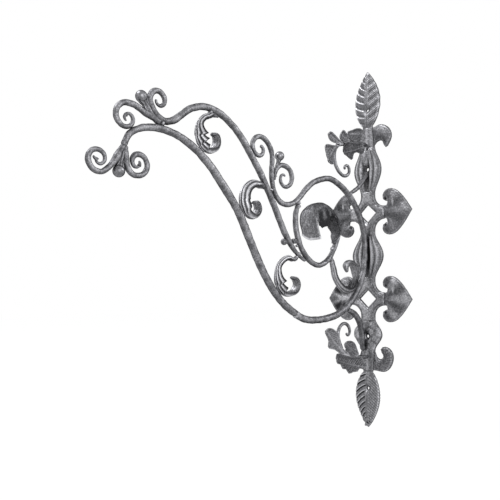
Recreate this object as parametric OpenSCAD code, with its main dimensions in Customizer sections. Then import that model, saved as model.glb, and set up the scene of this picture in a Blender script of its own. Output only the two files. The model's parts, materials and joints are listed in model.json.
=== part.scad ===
// Forged hanging sign bracket: a leafed wall plate and a scrolled arm.
// X runs across the wall plate, the arm reaches out along -Y, Z is up.
// The origin is on the wall, at the middle of the plate's back.

/* [Wall plate] */
// Thickness of the plate's stem and crosses
plate_t = 7; // [5:0.5:12]
// Width of the stem where the pods and crosses meet
stem_w = 40; // [30:1:50]
// Height of each cross, from stem to stem
cross_h = 104; // [96:1:120]
// Height of a cross's side arm where the spade leaf is welded
cross_arm_h = 32; // [22:1:38]
// Radius of the hollow corners of a cross
cross_fillet_r = 27; // [20:1:32]
// Width of the diamond opening
diamond_w = 48; // [30:1:52]
// Height of the diamond opening
diamond_h = 44; // [30:1:50]
// Height of the middle pod
middle_pod_h = 108; // [90:1:130]
// How far the middle pod reaches below the plate's centre
middle_pod_drop = 70; // [60:1:80]
// Height of the fluted upper pod
upper_pod_h = 110; // [90:1:130]
// Height of the hammered lower pod
lower_pod_h = 72; // [60:1:90]
// Width of the upper and lower pods
pod_w = 80; // [70:1:96]
// Width of the middle pod
middle_pod_w = 88; // [76:1:100]
// Thickness of a pod at its crown
pod_t = 13; // [9:0.5:16]
// Height of the upper collar, between leaf and pod
upper_collar_h = 50; // [44:1:60]
// Height of the lower collar
lower_collar_h = 52; // [46:1:60]

/* [Leaves] */
// Length of a leaf finial
leaf_h = 142; // [120:1:160]
// Width of a leaf finial
leaf_w = 77; // [60:1:90]
// Thickness of a leaf finial at its rim
leaf_t = 4; // [3:0.5:7]
// Width of a leaf finial's neck
leaf_neck_w = 30; // [24:1:38]
// Reach of a side petal beyond its collar
petal_reach = 53; // [40:1:64]
// Thickness of a side petal
petal_t = 5; // [3:0.5:8]
// Reach of a spade leaf beyond its cross
spade_reach = 76; // [60:1:90]
// Height of a spade leaf
spade_h = 112; // [90:1:130]
// Thickness of a spade leaf
spade_t = 5; // [3:0.5:8]

/* [Screw holes] */
// Hole in each leaf finial
leaf_hole_d = 7; // [5:0.5:9]
// Height of the leaf hole above the leaf's neck
leaf_hole_rise = 46; // [36:1:60]
// Hole in the upper and lower pods
pod_hole_d = 9; // [6:0.5:11]
// Height of the upper pod's hole above the pod's foot
upper_pod_hole_rise = 58; // [48:1:66]
// Height of the lower pod's hole above the pod's foot
lower_pod_hole_rise = 31; // [26:1:40]

/* [Arm] */
// Distance from the wall to the fork at the arm's end
arm_reach = 694; // [640:5:760]
// Height of the arch's top above the plate's centre
arm_rise = 187; // [160:1:215]
// Diameter of the ring, on its centre line
ring_d = 326; // [312:1:336]
// How far the ring's centre is below the plate's centre
ring_drop = 3; // [0:1:10]
// Thickness of the lower bar, mid-arm
bar_d = 16; // [13:0.5:18]
// Thickness of the ring where it meets the plate
ring_bar_d = 14; // [11:0.5:16]
// Thickness of the upper bar, mid-arm
upper_bar_d = 13; // [10:0.5:15]
// Thickness of the small loop inside the ring
loop_bar_d = 12; // [9:0.5:14]

/* [Scrolls] */
// Thickness of a scroll's bar
scroll_bar_d = 10; // [8:0.5:12]
// Thickness at a scroll's tip
scroll_tip_d = 6; // [4:0.5:8]
// Size of the scrolls at the arm's end, across the eye
scroll_w = 43; // [36:1:48]
// Diameter of the round balls in the forks
ball_d = 19; // [14:0.5:26]
// Width of an acanthus scroll, across the arm
acanthus_w = 18; // [12:1:24]
// Thickness of an acanthus scroll
acanthus_t = 12; // [9:0.5:14]
// Width of the curled leaf in the loop
curled_leaf_w = 64; // [48:1:76]
// Thickness of the curled leaf
curled_leaf_t = 4; // [3:0.5:6]
// Thickness of the braces between ring and plate
brace_d = 10; // [8:0.5:13]
// Distance from the plate's middle to the foot of the lower brace, beside the screw
lower_brace_side = 10; // [9.5:0.5:12]
// Thickness of a tendril
tendril_d = 7; // [5:0.5:8]
// Thickness of the leaves on the sprigs
sprig_leaf_t = 3; // [2:0.5:5]
// Diameter of the tie between upper bar and loop
tie_d = 8; // [6:0.5:10]

/* [Fit] */
// Gap left at a weld between two pieces
weld_gap = 0.3; // [0.2:0.05:0.5]

/* [Hidden] */
$fn = 48;
iron = "#5a5a5c";
iron_light = "#76767a";
iron_dark = "#454547";

// Levels of the plate's pieces, stacked from the middle pod
middle_foot = -middle_pod_drop;
middle_top = middle_foot + middle_pod_h;
upper_cross_z = middle_top + cross_h / 2;
upper_pod_foot = middle_top + cross_h;
upper_collar_foot = upper_pod_foot + upper_pod_h;
top_leaf_foot = upper_collar_foot + upper_collar_h;
lower_cross_z = middle_foot - cross_h / 2;
lower_pod_top = middle_foot - cross_h;
lower_pod_foot = lower_pod_top - lower_pod_h;
bottom_leaf_top = lower_pod_foot - lower_collar_h;
cross_reach = stem_w / 2 + cross_fillet_r;

// Places in the arm's plane are [distance from the wall, height]
plate_face = plate_t + weld_gap;
ring_r = ring_d / 2;
ring_centre = [plate_face + ring_bar_d / 2 + ring_r, -ring_drop];
ring_foot = ring_centre[1] - ring_r;

// The arm is drawn at this size, and stretched from the ring to suit
drawn_centre = [175.3, -3];
drawn_ring_r = 161;
drawn_end = [700, 188];
drawn_foot = drawn_centre[1] - drawn_ring_r;
stretch_s = (arm_reach - ring_centre[0]) / (drawn_end[0] - drawn_centre[0]);
stretch_z = (arm_rise - ring_foot) / (drawn_end[1] - drawn_foot);

function lay(p) = [
    ring_centre[0] + (p[0] - drawn_centre[0]) * stretch_s,
    ring_foot + (p[1] - drawn_foot) * stretch_z
];
function inside_ring(p) = ring_centre + (p - drawn_centre) * ring_r / drawn_ring_r;
function lay_all(list) = [for (p = list) lay(p)];
function inside_all(list) = [for (p = list) inside_ring(p)];

// Vectors and curves in the arm's plane
function unit(v) = v / norm(v);
function turn(v) = [-v[1], v[0]];
function back(list) = [for (i = [len(list) - 1 : -1 : 0]) list[i]];
function mix(a, b, t) = a + (b - a) * t;
function heading(p, i) =
    let (last = len(p) - 1)
    i == 0 ? unit(p[1] - p[0]) :
    i == last ? unit(p[last] - p[last - 1]) :
    let (before = p[i] - p[i - 1], after = p[i + 1] - p[i])
    unit(before / norm(before) * norm(after) + after / norm(after) * norm(before));
function between(p, q, v, w, t) =
    let (d = norm(q - p))
    p * (2 * t * t * t - 3 * t * t + 1) + v * d * (t * t * t - 2 * t * t + t)
    + q * (3 * t * t - 2 * t * t * t) + w * d * (t * t * t - t * t);
function smooth(p, step) = concat(
    [for (i = [0 : len(p) - 2])
        let (n = max(1, round(norm(p[i + 1] - p[i]) / step)), v = heading(p, i), w = heading(p, i + 1))
        for (k = [0 : n - 1]) between(p[i], p[i + 1], v, w, k / n)],
    [p[len(p) - 1]]
);
// Eye of a scroll: a spiral that tightens as it turns
function eye(c, r0, r1, start, sweep) =
    let (n = ceil(abs(sweep) / 30))
    [for (k = [0 : n])
        let (t = k / n, r = r1 + (r0 - r1) * (1 - pow(t, 1.3)), a = start + sweep * t)
        c + r * [cos(a), sin(a)]];
function arc(c, r, start, end, step) =
    let (n = ceil(abs(end - start) / step))
    [for (k = [0 : n]) c + r * [cos(mix(start, end, k / n)), sin(mix(start, end, k / n))]];
// Distance from a place to the straight between two others
function to_run(p, a, b) =
    let (t = ((p - a) * (b - a)) / ((b - a) * (b - a)))
    norm(p - mix(a, b, max(0, min(1, t))));
// Room from a place to the surface of a bar, where a bar is [run, thickness]
function room(p, bar) =
    let (run = bar[0], n = len(run) - 1)
    min([for (i = [0 : n - 1]) to_run(p, run[i], run[i + 1]) - lookup((i + 0.5) / n, bar[1]) / 2]);
// First place along a line that has room for need beside all the bars
function seat(p, v, need, bars, tries = 200) =
    tries == 0 || min([for (b = bars) room(p, b)]) >= need ? p
    : seat(p + v * 0.2, v, need, bars, tries - 1);
// Place beyond a run's last point, straight on from it
function onward(path, d) =
    let (last = len(path) - 1)
    path[last] + unit(path[last] - path[last - 1]) * d;
// Places where a run crosses a height
function crossings(path, z) = [
    for (i = [0 : len(path) - 2])
        let (a = path[i], b = path[i + 1])
        if ((a[1] - z) * (b[1] - z) <= 0 && a[1] != b[1]) mix(a, b, (z - a[1]) / (b[1] - a[1]))
];
function slope_at(path, z) = [
    for (i = [0 : len(path) - 2])
        let (a = path[i], b = path[i + 1])
        if ((a[1] - z) * (b[1] - z) <= 0 && a[1] != b[1]) unit(b - a)
][0];

// Rings of a swept bar: half thickness in the arm's plane, half width across
// it, and how far the edges of the section are lifted to make a trough
function sections(path, thick, wide, lift, sides) =
    let (n = len(path) - 1)
    [for (i = [0 : n])
        let (u = i / n, v = turn(heading(path, i)), a = lookup(u, thick), b = lookup(u, wide))
        for (k = [0 : sides - 1])
            let (
                t = 360 * (k + 0.5) / sides,
                q = path[i] + v * (a * sin(t) + lookup(u, lift) * pow(cos(t), 2))
            )
            [b * cos(t), -q[0], q[1]]];
function skin(rings, sides) = concat(
    [for (i = [0 : rings - 2], k = [0 : sides - 1])
        [i * sides + (k + 1) % sides, i * sides + k, (i + 1) * sides + k]],
    [for (i = [0 : rings - 2], k = [0 : sides - 1])
        [(i + 1) * sides + (k + 1) % sides, i * sides + (k + 1) % sides, (i + 1) * sides + k]],
    [[for (k = [0 : sides - 1]) k]],
    [[for (k = [sides - 1 : -1 : 0]) (rings - 1) * sides + k]]
);
module swept(path, thick, wide, lift = [[0, 0], [1, 0]], sides = 10) {
    polyhedron(
        points = sections(path, thick, wide, lift, sides),
        faces = skin(len(path), sides),
        convexity = 10
    );
}
module round_bar(path, d, sides = 10) {
    half = [for (k = d) [k[0], k[1] / 2]];
    swept(path, half, half, sides = sides);
}

// Relief plate, flat at the back: front holds its face's points in rows, each
// from left to right, from the foot up
module relief_grid(front, across, along) {
    row = across + 1;
    rim = concat(
        [for (i = [0 : across]) i],
        [for (j = [1 : along]) j * row + across],
        [for (i = [across - 1 : -1 : 0]) along * row + i],
        [for (j = [along - 1 : -1 : 1]) j * row]
    );
    count = len(rim);
    base = len(front);
    points = concat(front, [for (r = rim) [front[r][0], 0, front[r][2]]]);
    // Places at the back, on the left and right edge of row j
    function left(j) = base + (count - j) % count;
    function right(j) = base + across + j;
    faces = concat(
        [for (j = [0 : along - 1], i = [0 : across - 1]) [j * row + i, (j + 1) * row + i, j * row + i + 1]],
        [for (j = [0 : along - 1], i = [0 : across - 1])
            [j * row + i + 1, (j + 1) * row + i, (j + 1) * row + i + 1]],
        [for (k = [0 : count - 1]) [rim[k], rim[(k + 1) % count], base + k]],
        [for (k = [0 : count - 1]) [rim[(k + 1) % count], base + (k + 1) % count, base + k]],
        [for (i = [0 : across]) [left(1), base + i, base + i + 1]],
        [for (j = [1 : along - 2]) [left(j), right(j), right(j + 1)]],
        [for (j = [1 : along - 2]) [left(j), right(j + 1), left(j + 1)]],
        [for (i = [0 : across]) [left(along - 1), right(along - 1) + i, right(along) + i]]
    );
    polyhedron(points = points, faces = faces, convexity = 6);
}

// Hole for a screw, square to the wall
module screw_hole(d, z) {
    translate([0, 1, z])
        rotate([90, 0, 0])
            cylinder(d = d, h = pod_t + 12);
}

// Flat piece of the plate, cut from an outline in X and Z
module plate_piece(t) {
    rotate([90, 0, 0])
        linear_extrude(t)
            children();
}

// Leaf finial: a veined leaf on a short neck, foot at z = 0
leaf_veins = 7;
leaf_rib = 4;
function leaf_half(v) =
    v < 0.05 ? leaf_neck_w / 2 :
    let (t = (v - 0.05) / 0.95)
    max(0.8, mix(leaf_neck_w / 2 * (1 - t), leaf_w / 2, pow(sin(180 * pow(t, 0.72)), 0.9)));
function leaf_depth(u, v) =
    let (ramp = min(1, v * 6, (1 - v) * 8), ridge = leaf_rib * pow(1 - abs(u), 2))
    leaf_t + ridge * ramp + 1.2 * ramp * abs(u) * (1 + sin(360 * (leaf_veins * (v - abs(u) * 0.16))));
module leaf(right = 1) {
    across = 8;
    along = 28;
    front = [for (j = [0 : along], i = [0 : across])
        let (u = 2 * i / across - 1, v = j / along)
        [u * leaf_half(v) * (u > 0 ? right : 1), -leaf_depth(u, v), v * leaf_h]];
    difference() {
        relief_grid(front, across, along);
        screw_hole(leaf_hole_d, leaf_hole_rise);
    }
}
module top_leaf() {
    color(iron_light)
        translate([0, 0, top_leaf_foot])
            leaf(0.94);
}
module bottom_leaf() {
    color(iron_light)
        translate([0, 0, bottom_leaf_top])
            mirror([0, 0, 1])
                leaf(0.87);
}

// Lobed knob lying on the face of the bottom leaf, near its point
bead_d = 8;
bead_rise = 9;
module tip_bead() {
    lie = leaf_depth(0, 1 - bead_rise / leaf_h) + bead_d / 2 + weld_gap;
    color(iron_light)
        translate([0, -lie, bottom_leaf_top - leaf_h + bead_rise]) {
            sphere(d = bead_d, $fn = 24);
            for (side = [-1, 1])
                translate([side * bead_d * 0.3, -0.3, -bead_d * 0.35])
                    sphere(d = bead_d * 0.7, $fn = 24);
        }
}

// Collars: the stem pieces that carry the petals
module collar(h, foot_w, head_w) {
    plate_piece(plate_t)
        polygon([[-foot_w / 2, 0], [foot_w / 2, 0], [head_w / 2, h], [-head_w / 2, h]]);
}
module upper_collar() {
    color(iron)
        translate([0, 0, upper_collar_foot])
            collar(upper_collar_h, stem_w, leaf_neck_w);
}
module lower_collar() {
    color(iron)
        translate([0, 0, bottom_leaf_top])
            collar(lower_collar_h, leaf_neck_w, stem_w);
}

// Side petals: flat hooks with their roots on the collar's sloping edge. An
// outline is drawn for the right-hand side, with the collar's narrow end at 0.
module petal(h, hook) {
    k = petal_reach / 53;
    out = stem_w / 2;
    root_top = [leaf_neck_w / 2 + weld_gap, 0];
    root_foot = [mix(stem_w, leaf_neck_w, 6 / h) / 2 + weld_gap, 6 - h];
    plate_piece(petal_t)
        polygon(smooth(concat([root_top], [for (p = hook) [out + p[0] * k, p[1]]], [root_foot]), 6));
}
module upper_petal_right() {
    color(iron)
        translate([0, 0, top_leaf_foot])
            petal(upper_collar_h, [
                [3, 1], [12, 4], [23, 3], [36, -4], [46, -17], [48, -32], [42, -45], [32, -54],
                [27, -47], [24, -39], [15, -35], [7, -37]
            ]);
}
module upper_petal_left() {
    mirror([1, 0, 0])
        upper_petal_right();
}
module lower_petal_right() {
    color(iron)
        translate([0, 0, bottom_leaf_top])
            mirror([0, 0, 1])
                petal(lower_collar_h, [
                    [2, 0], [14, 1], [27, 1], [40, -7], [49, -21], [52, -36], [47, -51], [35, -59],
                    [23, -59], [17, -53], [20, -45], [25, -36], [17, -29], [8, -31]
                ]);
}
module lower_petal_left() {
    mirror([1, 0, 0])
        lower_petal_right();
}

// Pods: swollen stretches of the stem. Two fluted halves meet in a groove, or
// the whole pod is hammered. Depth is taken at u across and v along.
pod_flute = 2.5;
pod_groove = 0.35;
lower_pod_dents = 1.5;
function pod_half(v, w) = mix(stem_w / 2, w / 2, pow(sin(180 * v), 1.6));
function pod_depth(u, v, dents) =
    let (
        swell = pow(sin(180 * v), 1.2),
        crown = (pod_t - plate_t) * swell * sqrt(1 - u * u * 0.8)
    )
    dents > 0
    ? plate_t + crown + dents * swell * sin(360 * 2 * u) * sin(360 * 3 * v)
    : plate_t + crown * min(1, pow(abs(u) / pod_groove, 2))
        - pod_flute * swell * (1 - cos(360 * 3 * abs(u))) / 2 * min(1, abs(u) / pod_groove);
module pod(h, w, dents = 0) {
    across = 12;
    along = 14;
    front = [for (j = [0 : along], i = [0 : across])
        let (u = 2 * i / across - 1, v = j / along)
        [u * pod_half(v, w), -pod_depth(u, v, dents), v * h]];
    relief_grid(front, across, along);
}
module upper_pod() {
    color(iron)
        translate([0, 0, upper_pod_foot])
            difference() {
                pod(upper_pod_h, pod_w);
                screw_hole(pod_hole_d, upper_pod_hole_rise);
            }
}
module middle_pod() {
    color(iron)
        translate([0, 0, middle_foot])
            pod(middle_pod_h, middle_pod_w);
}
module lower_pod() {
    color(iron)
        translate([0, 0, lower_pod_foot])
            difference() {
                pod(lower_pod_h, pod_w, lower_pod_dents);
                screw_hole(pod_hole_d, lower_pod_hole_rise);
            }
}

// Crosses: the stem opens round a diamond and throws out two arms
module cross_outline() {
    difference() {
        square([2 * cross_reach, cross_h], center = true);
        polygon([[diamond_w / 2, 0], [0, diamond_h / 2], [-diamond_w / 2, 0], [0, -diamond_h / 2]]);
        for (side = [-1, 1], end = [-1, 1])
            scale([side, end])
                translate([stem_w / 2, cross_arm_h / 2]) {
                    translate([cross_fillet_r, cross_fillet_r])
                        circle(r = cross_fillet_r);
                    translate([0, cross_fillet_r])
                        square([cross_fillet_r + 1, cross_h]);
                }
    }
}
module cross() {
    plate_piece(plate_t)
        cross_outline();
}
module upper_cross() {
    color(iron)
        translate([0, 0, upper_cross_z])
            cross();
}
module lower_cross() {
    color(iron)
        translate([0, 0, lower_cross_z])
            cross();
}

// Spade leaf with two curled lobes, welded to a cross's arm
module spade_outline() {
    k = spade_reach / 76;
    m = spade_h / 112;
    root = cross_reach + weld_gap;
    lobe = [
        [root + 8 * k, 17 * m], [root + 10 * k, 25 * m], [root + 4 * k, 27 * m], [root - 2 * k, 31 * m],
        [root - 4 * k, 41 * m], [root + 2 * k, 51 * m], [root + 14 * k, 56 * m], [root + 29 * k, 53 * m],
        [root + 46 * k, 40 * m], [root + 61 * k, 22 * m]
    ];
    curve = smooth(lobe, 7);
    half_root = cross_arm_h / 2 - 2;
    upper = concat([[root, half_root]], curve, [[root + spade_reach, 0]]);
    polygon(concat(upper, [for (p = back(concat([[root, half_root]], curve))) [p[0], -p[1]]]));
}
module spade() {
    plate_piece(spade_t)
        spade_outline();
}
module upper_spade_right() {
    color(iron_dark)
        translate([0, 0, upper_cross_z])
            spade();
}
module upper_spade_left() {
    mirror([1, 0, 0])
        upper_spade_right();
}
module lower_spade_right() {
    color(iron_dark)
        translate([0, 0, lower_cross_z])
            spade();
}
module lower_spade_left() {
    mirror([1, 0, 0])
        lower_spade_right();
}

// Lower bar: from the fork at the arm's end, over the arch, down to the ring
fork = lay([700, 145]);
bar_join = lay([268, -150]);
lower_path = smooth(concat(
    [fork],
    lay_all([
        [691, 165], [670, 181], [634, 188], [595, 184], [556, 169], [520, 145], [479, 104],
        [440, 59], [409, 6], [378, -46], [341, -96], [302, -131]
    ]),
    [bar_join]
), 16);
lower_d = [[0, scroll_bar_d + 1], [0.15, bar_d - 3], [0.45, bar_d], [1, bar_d]];
module lower_bar() {
    color(iron)
        round_bar(lower_path, lower_d);
}

// Ring bar: round the ring, down through the dip and up into the mid scroll
mid_eye_c = lay([379, 193]);
mid_eye_k = scroll_w / 43;
ring_path = smooth(concat(
    [onward(lower_path, weld_gap), onward(lower_path, 14)],
    lay_all([[232, -163.5], [206, -165.5]]),
    arc(ring_centre, ring_r, -92, -262, 17),
    lay_all([
        [181, 154], [208, 144], [230, 129], [246, 114], [259, 101], [277, 90], [298, 85],
        [317, 88], [331, 98], [339, 114], [343, 132], [344, 154], [342, 174], [343, 190]
    ]),
    eye(mid_eye_c, 27 * mid_eye_k, 5 * mid_eye_k, 138, -388)
), 12);
ring_d_along = [
    [0, bar_d], [0.12, bar_d], [0.3, ring_bar_d], [0.55, ring_bar_d - 1],
    [0.7, scroll_bar_d + 1], [0.9, scroll_bar_d], [1, scroll_tip_d]
];
module ring_bar() {
    color(iron)
        round_bar(ring_path, ring_d_along);
}

// Scroll: from a root, through a lead, into an eye, all drawn from the root
function scroll(root, lead, c, r0, r1, start, sweep, k) = smooth(concat(
    [for (p = concat([[0, 0]], lead)) root + p * k],
    eye(root + c * k, r0 * k, r1 * k, start, sweep)
), 8);
scroll_k = scroll_w / 43;
split = scroll_bar_d / 4 + weld_gap / 2;
fork_run = unit(fork - lower_path[1]);
fork_side = turn(fork_run);
outer_root = fork + fork_run * weld_gap + fork_side * split;
inner_root = fork + fork_run * weld_gap - fork_side * split;
root_d = [
    [0, scroll_bar_d / 2], [0.04, scroll_bar_d / 2], [0.16, scroll_bar_d], [0.6, scroll_bar_d],
    [1, scroll_tip_d]
];
outer_path = scroll(
    outer_root, [fork_run * 4, [6, -10], [12, -21], [20, -33], [31, -43]],
    [46, -29.5], 21.5, 4, 256, 450, scroll_k);
inner_path = scroll(
    inner_root, [fork_run * 3, [0.5, -9], [0.5, -20], [-2, -32], [-10, -42]],
    [-23.5, -24], 22, 4, 275, -420, scroll_k);
module end_scroll_outer() {
    color(iron)
        round_bar(outer_path, root_d);
}
module end_scroll_inner() {
    color(iron)
        round_bar(inner_path, root_d);
}
ball_r = ball_d / 2;
ball_need = ball_r + weld_gap;
end_forks = [[outer_path, root_d], [inner_path, root_d]];
end_ball_c = seat(fork + [11, -34] * scroll_k, [0, -1], ball_need, end_forks);
// A ball on a tapered bud, which runs down into the throat of the fork and
// keeps clear of both bars
module ball(c, throat, bars) {
    function free(t) = min([for (b = bars) room(mix(c, throat, t), b)]) - weld_gap;
    tip = max(0.6, free(1));
    neck = min([for (t = [0 : 0.1 : 0.9]) (free(t) - tip * t) / (1 - t)]);
    translate([0, -c[0], c[1]]) {
        sphere(r = ball_r);
        rotate([atan2(throat[0] - c[0], throat[1] - c[1]), 0, 0])
            cylinder(r1 = min(neck, ball_r * 0.8), r2 = tip, h = norm(throat - c));
    }
}
module end_ball() {
    color(iron_dark)
        ball(end_ball_c, fork + [4, -22] * scroll_k, end_forks);
}

// Upper bar: from its crest scroll, over the hump, down to the loop
crest_eye_c = lay([631, 237]);
touch = lay([616, 188])[1] + (bar_d - 3 + upper_bar_d) / 2 + weld_gap;
upper_points = concat(
    back(eye(crest_eye_c, 19 * scroll_k, 5 * scroll_k, -20, 385)),
    lay_all([[643, 215], [632, 205]]),
    [[lay([616, 0])[0], touch]],
    lay_all([
        [601, 206], [583, 219], [564, 235], [545, 244], [526, 248], [506, 247], [486, 242],
        [465, 232], [446, 219], [427.3, 202.7], [410.3, 182.7], [393, 162], [369, 131], [352, 104],
        [334, 75], [315, 42], [296, 13], [275, -10], [258, -23]
    ])
);
upper_d = [
    [0, scroll_tip_d], [0.12, scroll_bar_d], [0.24, upper_bar_d], [0.88, upper_bar_d],
    [1, 6]
];

// Loop bar: hangs from the ring's end, round the loop, up to the curled leaf
loop_root_d = 8;
ring_rod = [ring_path, ring_d_along];
loop_root = seat(lay([261, 101]), [0.1, -1], loop_root_d * 0.37 + weld_gap, [ring_rod]);
loop_path = smooth(concat(
    [loop_root],
    inside_all([
        [265, 70], [267, 50], [264, 30], [258, 11], [251, -4], [241, -17], [225, -31], [206, -41],
        [186, -43], [165, -35], [148, -21], [136, -4], [126, 14], [117, 33]
    ])
), 12);
loop_d = [[0, loop_root_d], [0.05, loop_bar_d], [0.8, loop_bar_d], [1, loop_bar_d - 2]];
module loop_bar() {
    color(iron)
        round_bar(loop_path, loop_d);
}
loop_rod = [loop_path, loop_d];
upper_end = seat(inside_ring([231, -28]), unit([0.6, -0.8]), 3 + weld_gap, [loop_rod]);
upper_path = smooth(concat(upper_points, [upper_end]), 14);
upper_rod = [upper_path, upper_d];
module upper_bar() {
    color(iron)
        round_bar(upper_path, upper_d);
}

// Crest scroll's outer half, wedged between the two bars
crest_root = [lay([636, 0])[0], lay([0, 189])[1] + (bar_d - 3) / 2 + 2 + weld_gap];
crest_path = scroll(
    crest_root, [[7, 2], [18, 7], [31, 15], [41, 20]], [59, -3], 25, 4, 100, -400, scroll_k);
crest_d = [[0, 3], [0.15, scroll_bar_d], [0.6, scroll_bar_d], [1, scroll_tip_d]];
module crest_scroll() {
    color(iron)
        round_bar(crest_path, crest_d);
}
crest_forks = [[crest_path, crest_d], upper_rod];
crest_ball_c = seat(lay([667, 236]), [1, 0], ball_need, crest_forks);
module crest_ball() {
    color(iron_dark)
        ball(crest_ball_c, lay([655, 218]), crest_forks);
}

// Mid scroll: springs from the side of the ring bar's rising end
function outermost(list) = let (far = max([for (p = list) p[0]])) [for (p = list) if (p[0] == far) p][0];
mid_root = outermost(crossings(ring_path, lay([0, 134])[1])) - [scroll_bar_d * 0.75 + 0.4 + weld_gap, 0];
mid_path = scroll(
    mid_root, [[-0.5, 13], [-8, 27], [-20, 34]], [-30, 7], 27, 4, 84, 395, scroll_k);
module mid_scroll() {
    color(iron)
        round_bar(mid_path, root_d);
}
mid_forks = [[mid_path, root_d], ring_rod];
mid_ball_c = seat(mid_root + [-15, 52] * scroll_k, [-1, 0], ball_need, mid_forks);
module mid_ball() {
    color(iron_dark)
        ball(mid_ball_c, mid_root + [0, 32] * scroll_k, mid_forks);
}

// Acanthus scrolls: leafy C-shaped straps, troughs that thicken into the bowl
strap_half = acanthus_t / 2;
strap_thick = [
    [0, 3], [0.2, strap_half * 0.7], [0.5, strap_half * 1.1], [0.75, strap_half],
    [0.92, strap_half * 0.7], [1, 2.5]
];
module acanthus(path) {
    color(iron_light)
        swept(
            path,
            strap_thick,
            [[0, 4], [0.3, acanthus_w / 2], [0.7, acanthus_w / 2], [1, 4]],
            [[0, 0], [0.3, 2], [0.7, 2], [1, 0]]
        );
}
// A strap has its head welded at one bar, and its bowl moved along v until it
// rests on the other bar
function strap_room(path, bar) =
    let (n = len(path) - 1)
    min([for (i = [0 : n]) room(path[i], bar) - lookup(i / n, strap_thick)]);
function strap(head, list, v, bar, tries = 6) =
    let (path = smooth(concat([head], list), 8), step = weld_gap - strap_room(path, bar))
    tries == 0 || abs(step) < 0.05 ? path
    : strap(head, [for (p = list) p + v * step], v, bar, tries - 1);
// Head's place, for the half thickness that its slant shows to the bar
function head_at(p, v, half, bar) = seat(p, unit(v), half + weld_gap, [bar]);
lower_rod = [lower_path, lower_d];
acanthus_1_path = strap(head_at(lay([488, 243]), [20, -6], 2.1, upper_rod), lay_all([
    [508, 237], [527, 229], [539, 215], [542, 197], [537, 180], [525, 169], [510, 166],
    [497, 173], [491, 187], [495, 200], [508, 202]
]), [-0.7, 0.7], lower_rod);
acanthus_2_path = strap(head_at(lay([369, 115]), [15, 9], 2.4, upper_rod), lay_all([
    [384, 124], [402, 122], [418, 111], [427, 94], [427, 76], [419, 61], [408, 53], [395, 51],
    [384, 58], [378, 70], [384, 83], [398, 82]
]), [-0.8, 0.6], lower_rod);
acanthus_3_path = strap(head_at(lay([262, -14]), [8, -16], 0.4, upper_rod), lay_all([
    [270, -30], [291, -27], [309, -32], [323, -44], [329, -60], [329, -78], [320, -96], [304, -107],
    [286, -108], [269, -101], [261, -86], [268, -73], [284, -69]
]), [-0.8, 0.6], lower_rod);
acanthus_4_path = strap(head_at(inside_ring([149, -24]), [-1, -2], 1.5, loop_rod), inside_all([
    [149, -40], [147, -54], [139, -68], [124, -85], [105, -96], [85, -97], [67, -88], [57, -71],
    [56, -49], [68, -30], [86, -24], [101, -35], [95, -51]
]), [0.7, 0.7], ring_rod);
module acanthus_1() {
    acanthus(acanthus_1_path);
}
module acanthus_2() {
    acanthus(acanthus_2_path);
}
module acanthus_3() {
    acanthus(acanthus_3_path);
}
module acanthus_4() {
    acanthus(acanthus_4_path);
}

// Curled leaf: a broad forged leaf, lapped on the inside of the loop's end,
// that rises and rolls over
leaf_lap = (loop_bar_d - 2 + curled_leaf_t) / 2 + 0.4 + weld_gap;
function lapped(p, run) = p - turn(unit(run)) * leaf_lap;
curled_path = smooth(concat(
    [for (p = [[131, 5], [125, 16], [118, 31]]) lapped(inside_ring(p), [-10, 18])],
    inside_all([
        [130, 50], [138, 68], [153, 83], [171, 93], [190, 96], [208, 89], [221, 73], [224, 52],
        [220, 33], [213, 12]
    ])
), 12);
module curled_leaf() {
    half = curled_leaf_w / 2;
    color(iron_dark)
        swept(
            curled_path,
            [[0, curled_leaf_t / 2], [1, curled_leaf_t / 2]],
            [[0, 5], [0.1, half * 0.4], [0.2, half * 0.65], [0.35, half * 0.8], [0.55, half], [1, half]],
            [[0, 0], [0.1, -1], [0.3, -4], [0.7, -6], [1, 0]],
            12
        );
}

// Tie: a spacer between upper bar and loop, and a knob on the bar's far side
tie_from = crossings(upper_path, 5)[0];
tie_to = crossings(loop_path, 8)[0];
tie_run = unit(tie_to - tie_from);
upper_slope = slope_at(upper_path, 5);
loop_slope = slope_at(loop_path, 8);
// Distance along the tie to a bar's surface, which it meets aslant
function tie_reach(r, slope, half) =
    (r + weld_gap + half * abs(slope * tie_run)) / abs(turn(slope) * tie_run);
spacer_start = tie_reach(upper_bar_d / 2, upper_slope, tie_d / 2);
spacer_end = norm(tie_to - tie_from) - tie_reach(loop_bar_d / 2, loop_slope, tie_d / 2);
module along_tie() {
    translate([0, -tie_from[0], tie_from[1]])
        rotate([atan2(tie_run[1], -tie_run[0]), 0, 0])
            rotate([-90, 0, 0])
                children();
}
module tie_spacer() {
    color(iron_dark)
        along_tie()
            translate([0, 0, spacer_start])
                cylinder(d = tie_d, h = spacer_end - spacer_start);
}
module tie_knob() {
    knob_r = tie_d * 0.7;
    color(iron_dark)
        along_tie()
            translate([0, 0, -tie_reach(upper_bar_d / 2 + knob_r, upper_slope, 0)])
                sphere(r = knob_r);
}

// Braces: from the ring's shoulders to the plate
function ring_shoulder(a, off) = ring_centre + (ring_r + off + weld_gap) * [cos(a), sin(a)];
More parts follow.
